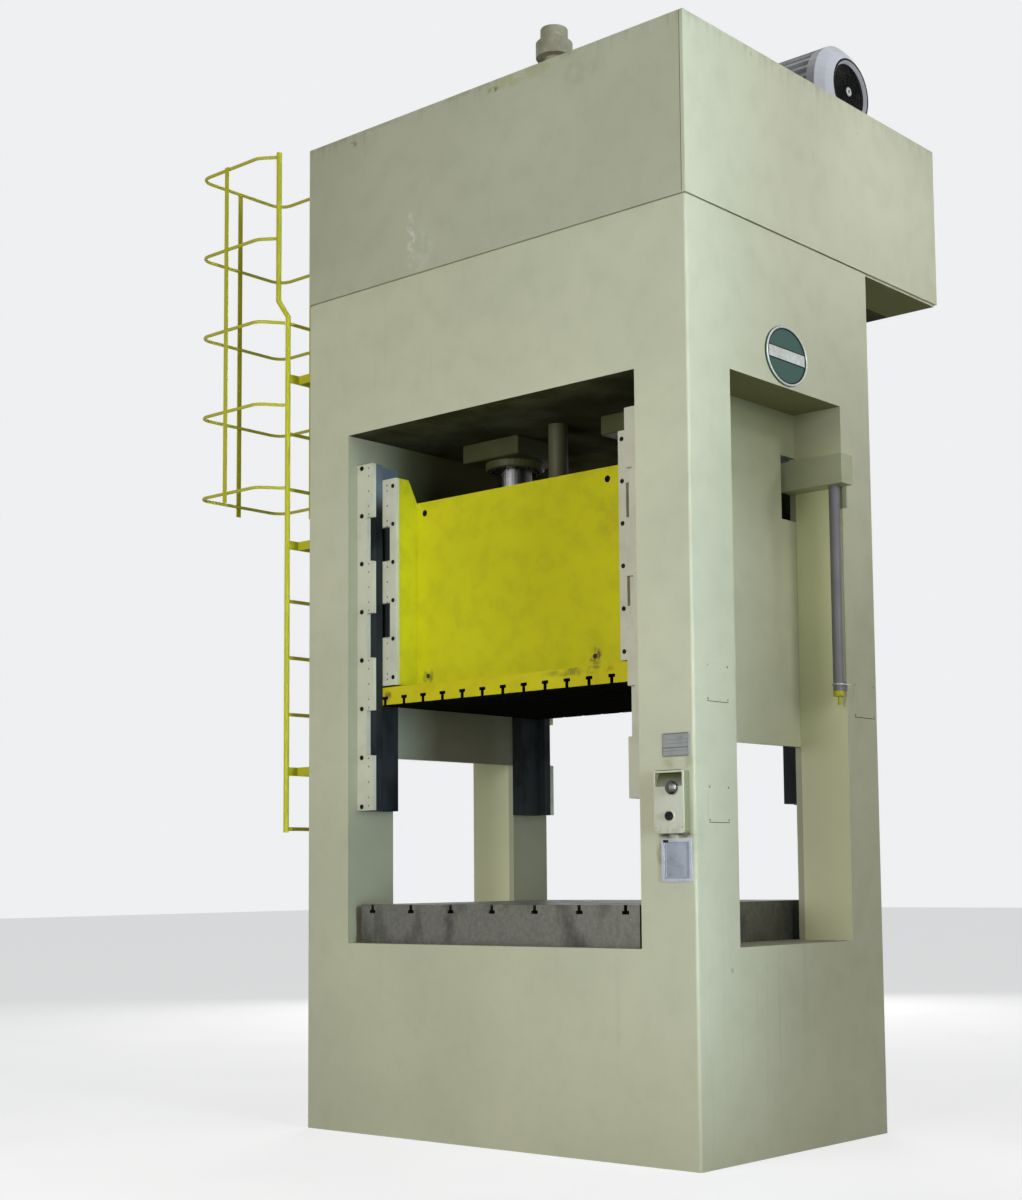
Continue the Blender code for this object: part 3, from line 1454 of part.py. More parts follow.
def build_cage():
    """Bolted cage: five hoops on the rails and three straps outside the hoops."""
    near = LADDER_NEAR_Y - CAGE_FLARE
    far = LADDER_FAR_Y + CAGE_REAR_FLARE
    reach = LADDER_X - CAGE_REACH
    runout = LADDER_X - CAGE_RUNOUT
    for index in range(HOOP_COUNT):
        height = HOOP_TOP - index * HOOP_PITCH
        flare = EXTENSION_FLARE if index < 2 else 0
        corners = [
            Vector((LADDER_X, LADDER_NEAR_Y - flare, height)),
            Vector((runout, near, height)),
            Vector((reach, near, height)),
            Vector((reach, far, height)),
            Vector((runout, far, height)),
            Vector((LADDER_X, LADDER_FAR_Y + flare, height)),
        ]
        for end, towards in ((0, 1), (-1, -2)):
            direction = (corners[towards] - corners[end]).normalized()
            corners[end] = corners[end] + direction * (RAIL_RADIUS + SEAT)
        route = round_path(corners, CAGE_CORNER, 4)
        hoop = make_tube("cage_hoop_" + str(index + 1), route, HOOP_RADIUS)
        finish(as_mesh(hoop), RAIL_YELLOW, smooth=True)

    top = HOOP_TOP + HOOP_RADIUS
    bottom = HOOP_TOP - (HOOP_COUNT - 1) * HOOP_PITCH - CAGE_STRAP_TAIL
    clear = HOOP_RADIUS + SEAT
    thick = CAGE_STRAP_THICKNESS
    wide = CAGE_STRAP_WIDTH
    middle_x = (reach + runout) / 2
    middle_y = (near + far) / 2
    straps = (
        (
            "cage_strap_front",
            (middle_x - wide / 2, near - clear - thick),
            (middle_x + wide / 2, near - clear),
        ),
        (
            "cage_strap_rear",
            (middle_x - wide / 2, far + clear),
            (middle_x + wide / 2, far + clear + thick),
        ),
        (
            "cage_strap_outer",
            (reach - clear - thick, middle_y - wide / 2),
            (reach - clear, middle_y + wide / 2),
        ),
    )
    for name, low, high in straps:
        finish(make_box(name, (*low, bottom), (*high, top)), RAIL_YELLOW)


build_frame()
build_slotted_plates()
build_guides()
build_slide()
for cylinder_side, cylinder_name in ((-1, "left"), (1, "right")):
    build_cylinder(cylinder_side, cylinder_name)
    build_prefill(cylinder_side, cylinder_name)
build_stop_rod()
build_deck_and_guards()
build_reservoir()
build_motor()
build_pump()
build_manifold()
build_transducer()
build_operator_box()
build_oval_plate()
build_ladder()
build_cage()
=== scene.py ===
"""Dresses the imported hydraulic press: paint and wear, fasteners, plates, light and camera."""

import math

import bmesh
import bpy
from mathutils import Matrix, Vector


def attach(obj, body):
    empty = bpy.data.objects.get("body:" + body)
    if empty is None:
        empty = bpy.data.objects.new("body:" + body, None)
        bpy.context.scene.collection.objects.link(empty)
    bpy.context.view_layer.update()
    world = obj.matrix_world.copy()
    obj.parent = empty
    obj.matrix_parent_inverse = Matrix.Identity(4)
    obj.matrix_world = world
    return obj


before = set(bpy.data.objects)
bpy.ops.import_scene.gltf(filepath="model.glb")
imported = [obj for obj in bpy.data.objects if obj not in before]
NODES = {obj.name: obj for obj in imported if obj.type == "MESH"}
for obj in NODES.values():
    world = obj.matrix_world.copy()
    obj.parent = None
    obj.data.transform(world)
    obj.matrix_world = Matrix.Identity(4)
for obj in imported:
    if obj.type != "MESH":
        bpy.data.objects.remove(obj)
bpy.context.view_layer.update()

# Places that repeat the part's own sizes, in metres; a _Z pair or _X pair is low and high
HALF_WIDTH = 1.400
HALF_DEPTH = 0.8535
GIB_BAR_FACE = 0.7835
GIB_BOTTOM = 1.797
GIB_TOP = 3.800
GIB_BOLT_X = 1.019
GIB_BOLT_PITCH = 0.280
GIB_SCREW_X = 0.963
WEAR_FACE = 0.701
WEAR_BOTTOM = 2.511
WEAR_TOP = 3.710
WEAR_BOLT_X = 0.849
WEAR_BOLT_PITCH = 0.222
CYLINDER_X = 0.532
GLAND_BOTTOM = 3.8114
ROD_FOOT_TOP = 3.5553
DECK_TOP = 4.8113
MOTOR_END = 1.2803
MOTOR_Y = 0.939
MOTOR_Z = 5.948
BOX_X = 1.270
BOX_FACE = -HALF_DEPTH - 0.0003 - 0.042
KNOB_X = 1.276
KNOB_Z = 1.697
KNOB_LENGTH = 0.0216
GUARD_TOP = 5.763
CORNER_SEAM_X = 1.3778
CEILING_Z = (3.88, 3.90)
REVEAL_X = 1.058
RECESS_START_X = 1.07
WEB_FACE_X = 1.094
RECESS_REAR_Y = 0.5407
SLIDE_HALF_DEPTH = 0.537
SLIDE_TOP = 3.581
EAR_X = 0.880
EAR_Y = 0.640
LIFTING_HOLES_X = (-0.754, 0.617)
LIFTING_HOLE_Z = 3.516
FOOT_BOSS = (0.517, 2.574)
FOOT_PLUG = (-0.731, 2.565)
DIE_PLATE_FRONT = -0.70
STOP_ROD_Y = -0.221
# Middle y, middle z, width and height of each access cover
COVERS = (
    (-0.656, 2.356, 0.190, 0.188),
    (-0.659, 1.758, 0.180, 0.184),
    (0.717, 2.354, 0.215, 0.186),
)
COVER_THICK = 0.0022
DATA_PLATE_X = (1.208, 1.368)
DATA_PLATE_Z = (1.992, 2.100)
DATA_PLATE_THICK = 0.0016
# Height and radius of each plain rule across the data plate
DATA_PLATE_RULES = ((2.016, 0.0010), (2.032, 0.0024), (2.052, 0.0010), (2.072, 0.0010))
NOTICE_X = (1.192, 1.378)
NOTICE_Z = (1.377, 1.588)
NOTICE_BAR = 0.017
BADGE_Y = 0.014
BADGE_Z = 4.148
BADGE_HALF_Y = 0.195
BADGE_HALF_Z = 0.1615
TUBE_X = 1.385
TUBE_Y = RECESS_REAR_Y - 0.0565
TUBE_FOOT = 2.370
STRAP_Z = 2.430
STRAP_REACH = 0.0345
CAP_FOOT = 6.2334
FAN_SETBACK = 0.028

# Fasteners: radius and height of the heads, and places along the guides
GIB_BOLT_HEAD = (0.0135, 0.006)
WEAR_BOLT_HEAD = (0.0125, 0.0035)
PIN_HEAD = (0.0060, 0.0012)
ROD_FOOT_HEAD = (0.018, 0.018)
GLAND_HEAD = (0.011, 0.010)
GIB_PIN_STEPS = (-0.135, -0.088, 0.0, 0.088, 0.135)
WEAR_PINS = (
    (0.896, (-0.120, -0.088, 0.0, 0.088, 0.120)),
    (0.953, (-0.118, 0.0, 0.118)),
)
# Small pieces start this far under the face they sit on
SUNK = -0.0002

FRONT = Vector((0, -1, 0))
BACK = Vector((0, 1, 0))
RIGHT = Vector((1, 0, 0))
DOWN = Vector((0, 0, -1))
UP = Vector((0, 0, 1))
SHARP_ANGLE = math.radians(35)


# Node helpers


class Shader:
    """Builds one procedural material around a Principled shader."""

    def __init__(self, name, roughness=0.5, metallic=0.0, specular=0.5):
        self.material = bpy.data.materials.new(name)
        self.material.use_nodes = True
        self.tree = self.material.node_tree
        self.shader = self.tree.nodes["Principled BSDF"]
        self.shader.inputs["Roughness"].default_value = roughness
        self.shader.inputs["Metallic"].default_value = metallic
        self.shader.inputs["Specular IOR Level"].default_value = specular
        self.place = self.tree.nodes.new("ShaderNodeTexCoord").outputs["Object"]
        self.geometry = self.tree.nodes.new("ShaderNodeNewGeometry")
        self.axes = self.tree.nodes.new("ShaderNodeSeparateXYZ")
        self.tree.links.new(self.place, self.axes.inputs[0])

    def link(self, value, socket):
        if isinstance(value, bpy.types.NodeSocket):
            self.tree.links.new(value, socket)
        else:
            socket.default_value = value

    def scaled(self, scale):
        """Object coordinates stretched by a scale on each axis."""
        node = self.tree.nodes.new("ShaderNodeMapping")
        node.inputs["Scale"].default_value = scale
        self.tree.links.new(self.place, node.inputs["Vector"])
        return node.outputs[0]

    def noise(self, scale, detail=4.0, stretch=(1, 1, 1), roughness=0.55):
        node = self.tree.nodes.new("ShaderNodeTexNoise")
        node.inputs["Scale"].default_value = scale
        node.inputs["Detail"].default_value = detail
        node.inputs["Roughness"].default_value = roughness
        self.tree.links.new(self.scaled(stretch), node.inputs["Vector"])
        return node.outputs["Fac"]

    def cells(self, scale):
        node = self.tree.nodes.new("ShaderNodeTexVoronoi")
        node.inputs["Scale"].default_value = scale
        self.tree.links.new(self.place, node.inputs["Vector"])
        return node.outputs["Distance"]

    def ramp(self, value, low, high, start=0.0, end=1.0):
        node = self.tree.nodes.new("ShaderNodeMapRange")
        node.interpolation_type = "SMOOTHSTEP"
        self.link(value, node.inputs["Value"])
        node.inputs["From Min"].default_value = low
        node.inputs["From Max"].default_value = high
        node.inputs["To Min"].default_value = start
        node.inputs["To Max"].default_value = end
        return node.outputs["Result"]

    def math(self, operation, first, second=0.0):
        node = self.tree.nodes.new("ShaderNodeMath")
        node.operation = operation
        self.link(first, node.inputs[0])
        self.link(second, node.inputs[1])
        return node.outputs[0]

    def times(self, *values):
        result = values[0]
        for value in values[1:]:
            result = self.math("MULTIPLY", result, value)
        return result

    def largest(self, *values):
        result = values[0]
        for value in values[1:]:
            result = self.math("MAXIMUM", result, value)
        return result

    def mix(self, factor, first, second):
        """Colour mix; a colour is a tuple of three or a socket."""
        node = self.tree.nodes.new("ShaderNodeMix")
        node.data_type = "RGBA"
        self.link(factor, node.inputs["Factor"])
        for value, socket in ((first, node.inputs["A"]), (second, node.inputs["B"])):
            self.link((*value, 1.0) if isinstance(value, tuple) else value, socket)
        return node.outputs["Result"]

    def spot(self, centre, size):
        """1 near a point and 0 beyond an ellipsoid of the given half sizes."""
        node = self.tree.nodes.new("ShaderNodeMapping")
        node.vector_type = "TEXTURE"
        node.inputs["Location"].default_value = centre
        node.inputs["Scale"].default_value = size
        self.tree.links.new(self.place, node.inputs["Vector"])
        length = self.tree.nodes.new("ShaderNodeVectorMath")
        length.operation = "LENGTH"
        self.tree.links.new(node.outputs[0], length.inputs[0])
        return self.ramp(length.outputs["Value"], 1.0, 0.5)

    def rise(self, axis, low, high, start=0.0, end=1.0):
        """From start to end between two coordinates on an axis."""
        return self.ramp(self.axes.outputs[axis], low, high, start, end)

    def normal(self, axis):
        split = self.tree.nodes.new("ShaderNodeSeparateXYZ")
        self.tree.links.new(self.geometry.outputs["True Normal"], split.inputs[0])
        return split.outputs[axis]

    def facing(self, axis, low, high):
        """1 on faces that look along an axis, or against it with negative limits."""
        return self.ramp(self.normal(axis), low, high)

    def size(self, axis):
        return self.math("ABSOLUTE", self.axes.outputs[axis])

    def near_either(self, axis, value, reach):
        """1 near the two planes at plus and minus a coordinate."""
        distance = self.math("ABSOLUTE", self.math("SUBTRACT", self.size(axis), value))
        return self.math("LESS_THAN", distance, reach)

    def beyond(self, axis, value):
        return self.math("GREATER_THAN", self.size(axis), value)

    def within(self, axis, value):
        return self.math("LESS_THAN", self.size(axis), value)

    def facing_either(self, axis, low, high):
        return self.ramp(self.math("ABSOLUTE", self.normal(axis)), low, high)

    def bump(self, height, strength, distance):
        node = self.tree.nodes.new("ShaderNodeBump")
        node.inputs["Strength"].default_value = strength
        node.inputs["Distance"].default_value = distance
        self.link(height, node.inputs["Height"])
        self.tree.links.new(node.outputs["Normal"], self.shader.inputs["Normal"])

    def dull(self, mask):
        """Take the shine off where a mask is 1."""
        level = self.shader.inputs["Specular IOR Level"]
        self.link(self.ramp(mask, 0.0, 1.0, level.default_value, 0.0), level)

    def colour(self, value):
        self.link((*value, 1.0) if isinstance(value, tuple) else value,
                  self.shader.inputs["Base Color"])

    def roughness(self, value):
        self.link(value, self.shader.inputs["Roughness"])


# Colours of the dirt, and of light, shade and sheen that are painted on
DUST = (0.23, 0.21, 0.16)
OIL_AND_SHADE_CEILING = (0.040, 0.042, 0.020)
RECESS_CEILING_SHADE = (0.25, 0.255, 0.13)
PAINTED_LIGHT_CREAM = (0.92, 0.94, 0.59)
REVEAL_SHADE = (0.060, 0.062, 0.026)
WEB_GRIME_AND_SHADE = (0.27, 0.30, 0.145)
WEB_PAINTED_SHADE_HIGH = (0.16, 0.175, 0.085)
OILY_STEEL = (0.020, 0.026, 0.026)
EAR_PAINT = (0.480, 0.490, 0.370)
SLOT_SHADE_BLACK = (0.012, 0.012, 0.008)
SCOOP_SHADE = (0.060, 0.064, 0.022)
BOX_SIDE_SHADE = (0.20, 0.215, 0.115)
BOX_FOOT_DIRT = (0.20, 0.20, 0.09)
GIB_STEEL = (0.028, 0.034, 0.034)
CLEAN_STEEL_AND_SHEEN = (0.13, 0.165, 0.185)
ROD_LOW_OLIVE = (0.040, 0.045, 0.016)


def tint(colour, factor):
    return tuple(min(1.0, channel * factor) for channel in colour)


def paint(name, base, grime=(0.10, 0.095, 0.045), amount=1.0, marks=(), gloss=0.36, streak_tops=(),
          specular=0.30, extra=None):
    """Machine paint with clouding, runs of dirt, dust and small knocks.

    Each of streak_tops is a height and how far the streaks reach down from it; marks come
    from mark(), and extra(s, tone) adds what one part alone shows.
    """
    s = Shader(name, specular=specular)
    clouds = s.noise(0.9, 3.0)
    mottle = s.noise(7.0, 6.0)
    tone = s.mix(s.ramp(clouds, 0.32, 0.70), tint(base, 0.93), tint(base, 1.05))
    tone = s.mix(s.ramp(mottle, 0.42, 0.72, 0.0, 0.10 * amount), tone, grime)
    runs = s.noise(1.0, 5.0, (22, 22, 0.55), 0.6)
    run_zone = s.noise(1.1, 2.0, (1, 1, 0.4))
    streaks = s.times(s.ramp(runs, 0.56, 0.78), s.ramp(run_zone, 0.45, 0.68))
    tone = s.mix(s.times(streaks, 0.22 * amount), tone, grime)
    for height, reach in streak_tops:
        below = s.rise("Z", height - reach, height)
        under = s.times(below, s.math("LESS_THAN", s.axes.outputs["Z"], height + 0.001))
        tone = s.mix(s.times(under, s.ramp(runs, 0.44, 0.66), 0.30 * amount), tone, grime)
        edge = s.rise("Z", height - 0.045, height)
        edge = s.times(edge, s.ramp(s.noise(9.0, 5.0), 0.42, 0.68), 0.42 * amount)
        tone = s.mix(edge, tone, grime)
    for centre, size, colour, strength in marks:
        spot = s.times(s.spot(centre, size), s.ramp(s.noise(16.0, 5.0), 0.38, 0.62), strength)
        tone = s.mix(spot, tone, colour)
    knocks = s.times(
        s.ramp(s.cells(3.1), 0.055, 0.020), s.ramp(s.noise(2.3, 2.0), 0.52, 0.62)
    )
    tone = s.mix(s.times(knocks, 0.55 * amount), tone, tint(grime, 0.6))
    if extra:
        tone = extra(s, tone)
    dust = s.times(s.facing("Z", 0.55, 0.95), s.ramp(s.noise(4.0, 6.0), 0.30, 0.62, 0.35, 0.85))
    tone = s.mix(dust, tone, DUST)
    s.colour(tone)
    s.roughness(s.ramp(s.math("ADD", mottle, s.times(dust, 0.5)), 0.3, 0.9, gloss, gloss + 0.28))
    peel = s.noise(320.0, 2.0)
    waves = s.noise(2.2, 2.0)
    s.bump(s.math("ADD", s.times(peel, 0.10), s.times(waves, 1.0)), 0.30, 0.0016)
    return s.material


def frame_dirt_and_painted_light(s, tone):
    """Oil and painted shade on the crown's underside, painted shade on the recess ceilings and the
    reveals, painted light on the recess back walls fading out towards the top, and grime with
    painted shade on the webs inside the side recesses, more painted shade towards their top.
    """
    # Oil and painted shade on the crown's underside in the opening; painted shade on the ceilings
    # of the side recesses
    oil = s.ramp(s.noise(3.0, 4.0), 0.25, 0.65, 0.86, 0.99)
    ceiling = s.times(s.facing("Z", -0.6, -0.9), s.rise("Z", *CEILING_Z))
    tone = s.mix(s.times(ceiling, oil, s.within("X", RECESS_START_X)), tone, OIL_AND_SHADE_CEILING)
    tone = s.mix(s.times(ceiling, s.beyond("X", RECESS_START_X)), tone, RECESS_CEILING_SHADE)
    # Painted light on the back walls of the side recesses, fading out towards the top
    back_wall = s.times(
        s.near_either("Y", RECESS_REAR_Y, 0.004), s.beyond("X", 1.096), s.facing("Y", -0.5, -0.7)
    )
    painted_light = s.times(back_wall, s.rise("Z", 2.4, 3.1, 0.66, 1.0), s.rise("Z", 3.95, 3.45))
    tone = s.mix(painted_light, tone, PAINTED_LIGHT_CREAM)
    reveal = s.times(s.near_either("X", REVEAL_X, 0.01), s.facing_either("X", 0.5, 0.7))
    deep = s.times(s.rise("Y", -0.80, -0.30), s.rise("Z", 2.3, 3.2))
    shade = s.times(reveal, s.math("ADD", s.times(deep, 0.62), 0.32))
    s.dull(s.largest(ceiling, reveal))
    tone = s.mix(shade, tone, REVEAL_SHADE)
    # Grime and painted shade on the webs, patchy, with more painted shade towards the top
    beside = s.times(s.near_either("X", WEB_FACE_X, 0.02), s.facing_either("X", 0.5, 0.7))
    web_grime_and_shade = s.times(beside, s.ramp(s.noise(1.3, 4.0), 0.25, 0.75, 0.0, 0.22))
    tone = s.mix(web_grime_and_shade, tone, WEB_GRIME_AND_SHADE)
    return s.mix(s.times(beside, s.rise("Z", 3.1, 3.9, 0.0, 0.75)), tone, WEB_PAINTED_SHADE_HIGH)


def slide_dirt(s, tone):
    """Oily steel on the ears where the wear plates leave gaps; the right front one is painted."""
    ears = s.times(s.beyond("X", EAR_X), s.beyond("Y", EAR_Y))
    tone = s.mix(ears, tone, OILY_STEEL)
    right = s.math("GREATER_THAN", s.axes.outputs["X"], EAR_X)
    front = s.math("LESS_THAN", s.axes.outputs["Y"], -EAR_Y)
    return s.mix(s.times(right, front), tone, EAR_PAINT)


def slot_painted_shade(s, tone):
    """Painted shade, black, in the slots and on the underside."""
    walls = s.times(s.facing_either("X", 0.5, 0.7), s.within("X", 0.955))
    under = s.facing("Z", -0.6, -0.9)
    slot_shade = s.largest(walls, under)
    s.dull(slot_shade)
    return s.mix(slot_shade, tone, SLOT_SHADE_BLACK)


def box_shade_and_dirt(s, tone):
    """Painted shade in the scooped top of the operator box and on its side, dirt along its foot."""
    scoop = s.times(s.facing("Z", 0.15, 0.40), s.within("X", 1.350), s.beyond("X", 1.190))
    tone = s.mix(s.times(scoop, s.rise("Z", 1.80, 1.90, 0.45, 0.98)), tone, SCOOP_SHADE)
    tone = s.mix(s.times(s.facing("X", 0.5, 0.9), 0.95), tone, BOX_SIDE_SHADE)
    low = s.times(s.rise("Z", 1.675, 1.625), s.ramp(s.noise(30.0, 4.0), 0.40, 0.65))
    return s.mix(s.times(low, 0.35), tone, BOX_FOOT_DIRT)


def gib_steel(s, tone):
    """Painted front edge on a guide whose other faces are oily steel."""
    sides = s.ramp(s.facing("Y", -0.5, -0.9), 1.0, 0.0)
    return s.mix(sides, tone, GIB_STEEL)


def clean_top_and_sheen(s, tone):
    """Blue-grey bright steel above the reach of the slide, darker below: clean steel and a painted
    sheen.
    """
    return s.mix(s.rise("Z", 3.50, 3.68), tone, CLEAN_STEEL_AND_SHEEN)


def rod_low_olive(s, tone):
    """Darker olive on the stop rod below the crown."""
    return s.mix(s.rise("Z", 4.6, 4.3, 0.0, 0.9), tone, ROD_LOW_OLIVE)


def metal(name, base, dark, roughness=0.32, stretch=(140, 140, 2), oil=0.4, patch=5.0, shine=1.0,
          extra=None):
    """Machined steel with tool lines along one axis and oily patches."""
    s = Shader(name, roughness, shine, 0.5 * shine)
    lines = s.noise(1.0, 3.0, stretch, 0.6)
    patches = s.noise(patch, 5.0, (1, 1, 0.5))
    tone = s.mix(s.ramp(lines, 0.35, 0.65), tint(base, 0.88), tint(base, 1.08))
    tone = s.mix(s.ramp(patches, 0.46, 0.70, 0.0, oil), tone, dark)
    if extra:
        tone = extra(s, tone)
    s.colour(tone)
    s.roughness(s.ramp(patches, 0.35, 0.70, roughness, roughness + 0.22))
    s.bump(lines, 0.12, 0.0004)
    return s.material


def plastic(name, base, roughness=0.4, grain=220.0, specular=0.4):
    s = Shader(name, roughness, specular=specular)
    wear = s.noise(14.0, 5.0)
    s.colour(s.mix(s.ramp(wear, 0.45, 0.75), base, tuple(0.65 * c + 0.03 for c in base)))
    s.roughness(s.ramp(wear, 0.35, 0.70, roughness, roughness + 0.2))
    s.bump(s.noise(grain, 2.0), 0.15, 0.0005)
    return s.material


# Materials

CREAM_BASE = (0.480, 0.490, 0.345)
GUIDE_CREAM = (0.530, 0.540, 0.420)
GUIDE_GRIME = (0.12, 0.12, 0.07)
RUST = (0.21, 0.105, 0.035)
TOP_STREAKS = (GUARD_TOP, 0.12)
MARK_DEPTH = 0.3


def mark(x, z, half_width, half_height, colour, strength, y=-HALF_DEPTH):
    """A patch on a front face, as paint() takes it."""
    return (x, y, z), (half_width, MARK_DEPTH, half_height), colour, strength


PAINT = {
    "frame": paint(
        "frame_paint", CREAM_BASE, amount=0.6, extra=frame_dirt_and_painted_light,
        marks=(
            mark(1.30, 1.60, 0.13, 0.30, (0.22, 0.21, 0.12), 0.30),
            # Painted shadow under the operator box
            mark(1.28, 1.604, 0.13, 0.022, (0.025, 0.025, 0.012), 1.0),
            # Painted shade beside the left edge of the notice
            mark(1.185, 1.53, 0.035, 0.09, (0.16, 0.16, 0.08), 0.6),
            mark(1.30, 1.965, 0.12, 0.05, (0.24, 0.24, 0.13), 0.5),
        ),
    ),
    # The front guard's cream is a darker copy of the frame's: painted shade where the front light
    # falls off towards the top
    "guards": paint(
        "front_guard_shaded_paint", (0.400, 0.410, 0.292), amount=0.7, streak_tops=(TOP_STREAKS,),
        marks=(
            mark(-0.545, 5.02, 0.040, 0.19, (0.66, 0.67, 0.62), 0.80),
            mark(-0.47, 4.95, 0.15, 0.16, (0.58, 0.60, 0.53), 0.28),
            mark(0.74, 5.64, 0.16, 0.10, (0.25, 0.25, 0.16), 0.30),
            mark(0.10, 5.712, 0.045, 0.022, (0.06, 0.06, 0.03), 0.9),
            mark(-1.03, 5.70, 0.05, 0.025, (0.09, 0.09, 0.05), 0.8),
            mark(0.30, 5.73, 0.30, 0.05, (0.34, 0.33, 0.12), 0.5),
        ),
    ),
    "side_guards": paint("side_guard_paint", CREAM_BASE, amount=0.6, streak_tops=(TOP_STREAKS,)),
    "guides": paint(
        "guide_paint_oily", GUIDE_CREAM, grime=GUIDE_GRIME, amount=1.6, gloss=0.28,
    ),
    "box": paint(
        "operator_box_paint", GUIDE_CREAM, grime=GUIDE_GRIME, amount=1.4, gloss=0.28,
        extra=box_shade_and_dirt,
    ),
    "gib": paint("gib_front_edge_paint", GUIDE_CREAM, amount=1.6, extra=gib_steel),
    "machine": paint("machinery_paint", (0.42, 0.43, 0.30), amount=1.8, gloss=0.34),
    "under": paint("cylinder_head_paint", (0.055, 0.060, 0.022), amount=1.6, gloss=0.40),
    "arm": paint("bracket_arm_paint", (0.40, 0.42, 0.27), amount=1.2, gloss=0.36),
    "cap": paint(
        "stop_cap_paint", (0.30, 0.285, 0.195), grime=(0.035, 0.030, 0.018), amount=4.2,
        gloss=0.45, extra=rod_low_olive,
    ),
    "motor": paint(
        "motor_paint", (0.62, 0.64, 0.69), grime=(0.10, 0.10, 0.10), amount=1.2, gloss=0.30,
    ),
    "tube": paint(
        "tube_paint", (0.170, 0.165, 0.180), grime=(0.05, 0.05, 0.05), amount=0.8, gloss=0.34,
    ),
    "rail": paint(
        "rail_paint", (0.46, 0.46, 0.020), grime=(0.20, 0.16, 0.02), amount=0.8, gloss=0.30,
        specular=0.2,
    ),
    "slide": paint(
        "slide_paint", (0.545, 0.530, 0.010), grime=(0.20, 0.17, 0.012), amount=0.35, gloss=0.34,
        streak_tops=((SLIDE_TOP, 0.06), (2.53, 0.03)), specular=0.12, extra=slide_dirt,
        marks=(
            mark(*FOOT_BOSS, 0.062, 0.062, RUST, 0.95, -SLIDE_HALF_DEPTH),
            mark(*FOOT_BOSS, 0.050, 0.050, (0.12, 0.07, 0.02), 0.9, -SLIDE_HALF_DEPTH),
            mark(*FOOT_PLUG, 0.055, 0.060, (0.09, 0.08, 0.02), 0.75, -SLIDE_HALF_DEPTH),
            mark(0.62, 3.30, 0.10, 0.16, (0.34, 0.31, 0.02), 0.35, -SLIDE_HALF_DEPTH),
        ),
    ),
    "die_plate": paint(
        "die_plate_paint", (0.520, 0.470, 0.008), grime=(0.12, 0.09, 0.012), amount=1.6, gloss=0.36,
        specular=0.15, extra=slot_painted_shade,
        marks=(
            mark(-0.892, 2.45, 0.035, 0.05, RUST, 0.95, DIE_PLATE_FRONT),
            mark(0.55, 2.48, 0.30, 0.03, (0.13, 0.12, 0.02), 0.7, DIE_PLATE_FRONT),
        ),
    ),
}

MACHINED = metal(
    "machined_guide_steel", (0.022, 0.027, 0.028), (0.006, 0.007, 0.007), 0.5, oil=0.92,
    shine=0.15, extra=clean_top_and_sheen,
)
CHROME = metal("hard_chrome", (0.22, 0.22, 0.22), (0.04, 0.04, 0.03), 0.20, (3, 3, 160), 0.6)
OILED = metal("oiled_dark_steel", (0.14, 0.14, 0.12), (0.02, 0.02, 0.016), 0.38, (40, 40, 40), 0.6)
BLACK_BOLT = metal(
    "black_oxide_bolt", (0.016, 0.016, 0.017), (0.006, 0.006, 0.006), 0.42, (90, 90, 90), 0.5,
)
GREY_SCREW = metal("dull_screw", (0.27, 0.27, 0.22), (0.10, 0.10, 0.07), 0.48, (90, 90, 90), 0.6)
ZINC = metal("zinc_bolt", (0.55, 0.55, 0.52), (0.20, 0.19, 0.16), 0.34, (90, 90, 90), 0.5)
SILVER = metal(
    "brushed_button", (0.11, 0.11, 0.10), (0.012, 0.012, 0.010), 0.22, (60, 260, 60), 0.97,
    patch=34.0,
)
PLATE = plastic("bare_plate_metal", (0.235, 0.245, 0.235), 0.45, 300.0)
BLACK = plastic("black_plastic_part", (0.006, 0.006, 0.006), 0.5, specular=0.08)
GREEN = plastic("green_enamel", (0.028, 0.085, 0.064), 0.30, 60.0, 0.25)
RIM = metal("pale_rim_metal", (0.60, 0.63, 0.60), (0.30, 0.33, 0.31), 0.38, (60, 60, 60), 0.4)
SLEEVE = plastic("clear_sleeve_edge", (0.43, 0.46, 0.51), 0.32, specular=0.2)
PAPER = plastic("blank_paper", (0.34, 0.37, 0.42), 0.7, 400.0, 0.1)
BLACK_SEAM = plastic("dark_seam", (0.020, 0.019, 0.014), 0.8)


def dress(material, *names):
    """Put a material on CAD nodes, whose meshes stay as they are."""
    for name in names:
        mesh = NODES[name].data
        mesh.materials.clear()
        mesh.materials.append(material)


SIDES = ("left", "right")
CORNERS = ("front_left", "front_right", "rear_left", "rear_right")
dress(PAINT["frame"], "press_frame", "crown_deck")
dress(PAINT["guards"], "guard_front")
dress(PAINT["side_guards"], "guard_right", "guard_left", "guard_rear")
dress(PAINT["box"], "operator_box")
dress(PAINT["guides"], *["gib_bar_" + c for c in CORNERS])
dress(PAINT["guides"], *["wear_plate_" + c for c in CORNERS])
dress(PAINT["slide"], "slide")
dress(PAINT["die_plate"], "slide_die_plate")
dress(PAINT["under"], *["cylinder_flange_" + s for s in SIDES])
dress(PAINT["under"], *["gland_ring_" + s for s in SIDES])
dress(PAINT["machine"], *["cylinder_barrel_" + s for s in SIDES])
dress(PAINT["machine"], *["suction_pipe_" + s for s in SIDES])
dress(PAINT["machine"], "reservoir", "bell_housing", "stop_tube")
dress(PAINT["cap"], "stop_rod", "stop_nut")
dress(PAINT["arm"], "transducer_arm")
dress(PAINT["motor"], "motor", "motor_fan_cowl")
dress(PAINT["tube"], "transducer_tube")
dress(PAINT["rail"], "ladder", "cage_strap_front", "cage_strap_outer", "cage_strap_rear")
dress(PAINT["rail"], *["cage_hoop_%d" % (i + 1) for i in range(5)])
dress(MACHINED, "gib_front_left", "gib_rear_left", "gib_rear_right")
dress(PAINT["gib"], "gib_front_right")
dress(CHROME, *["piston_rod_" + s for s in SIDES])
dress(OILED, "bolster_plate", "pump", "valve_manifold")
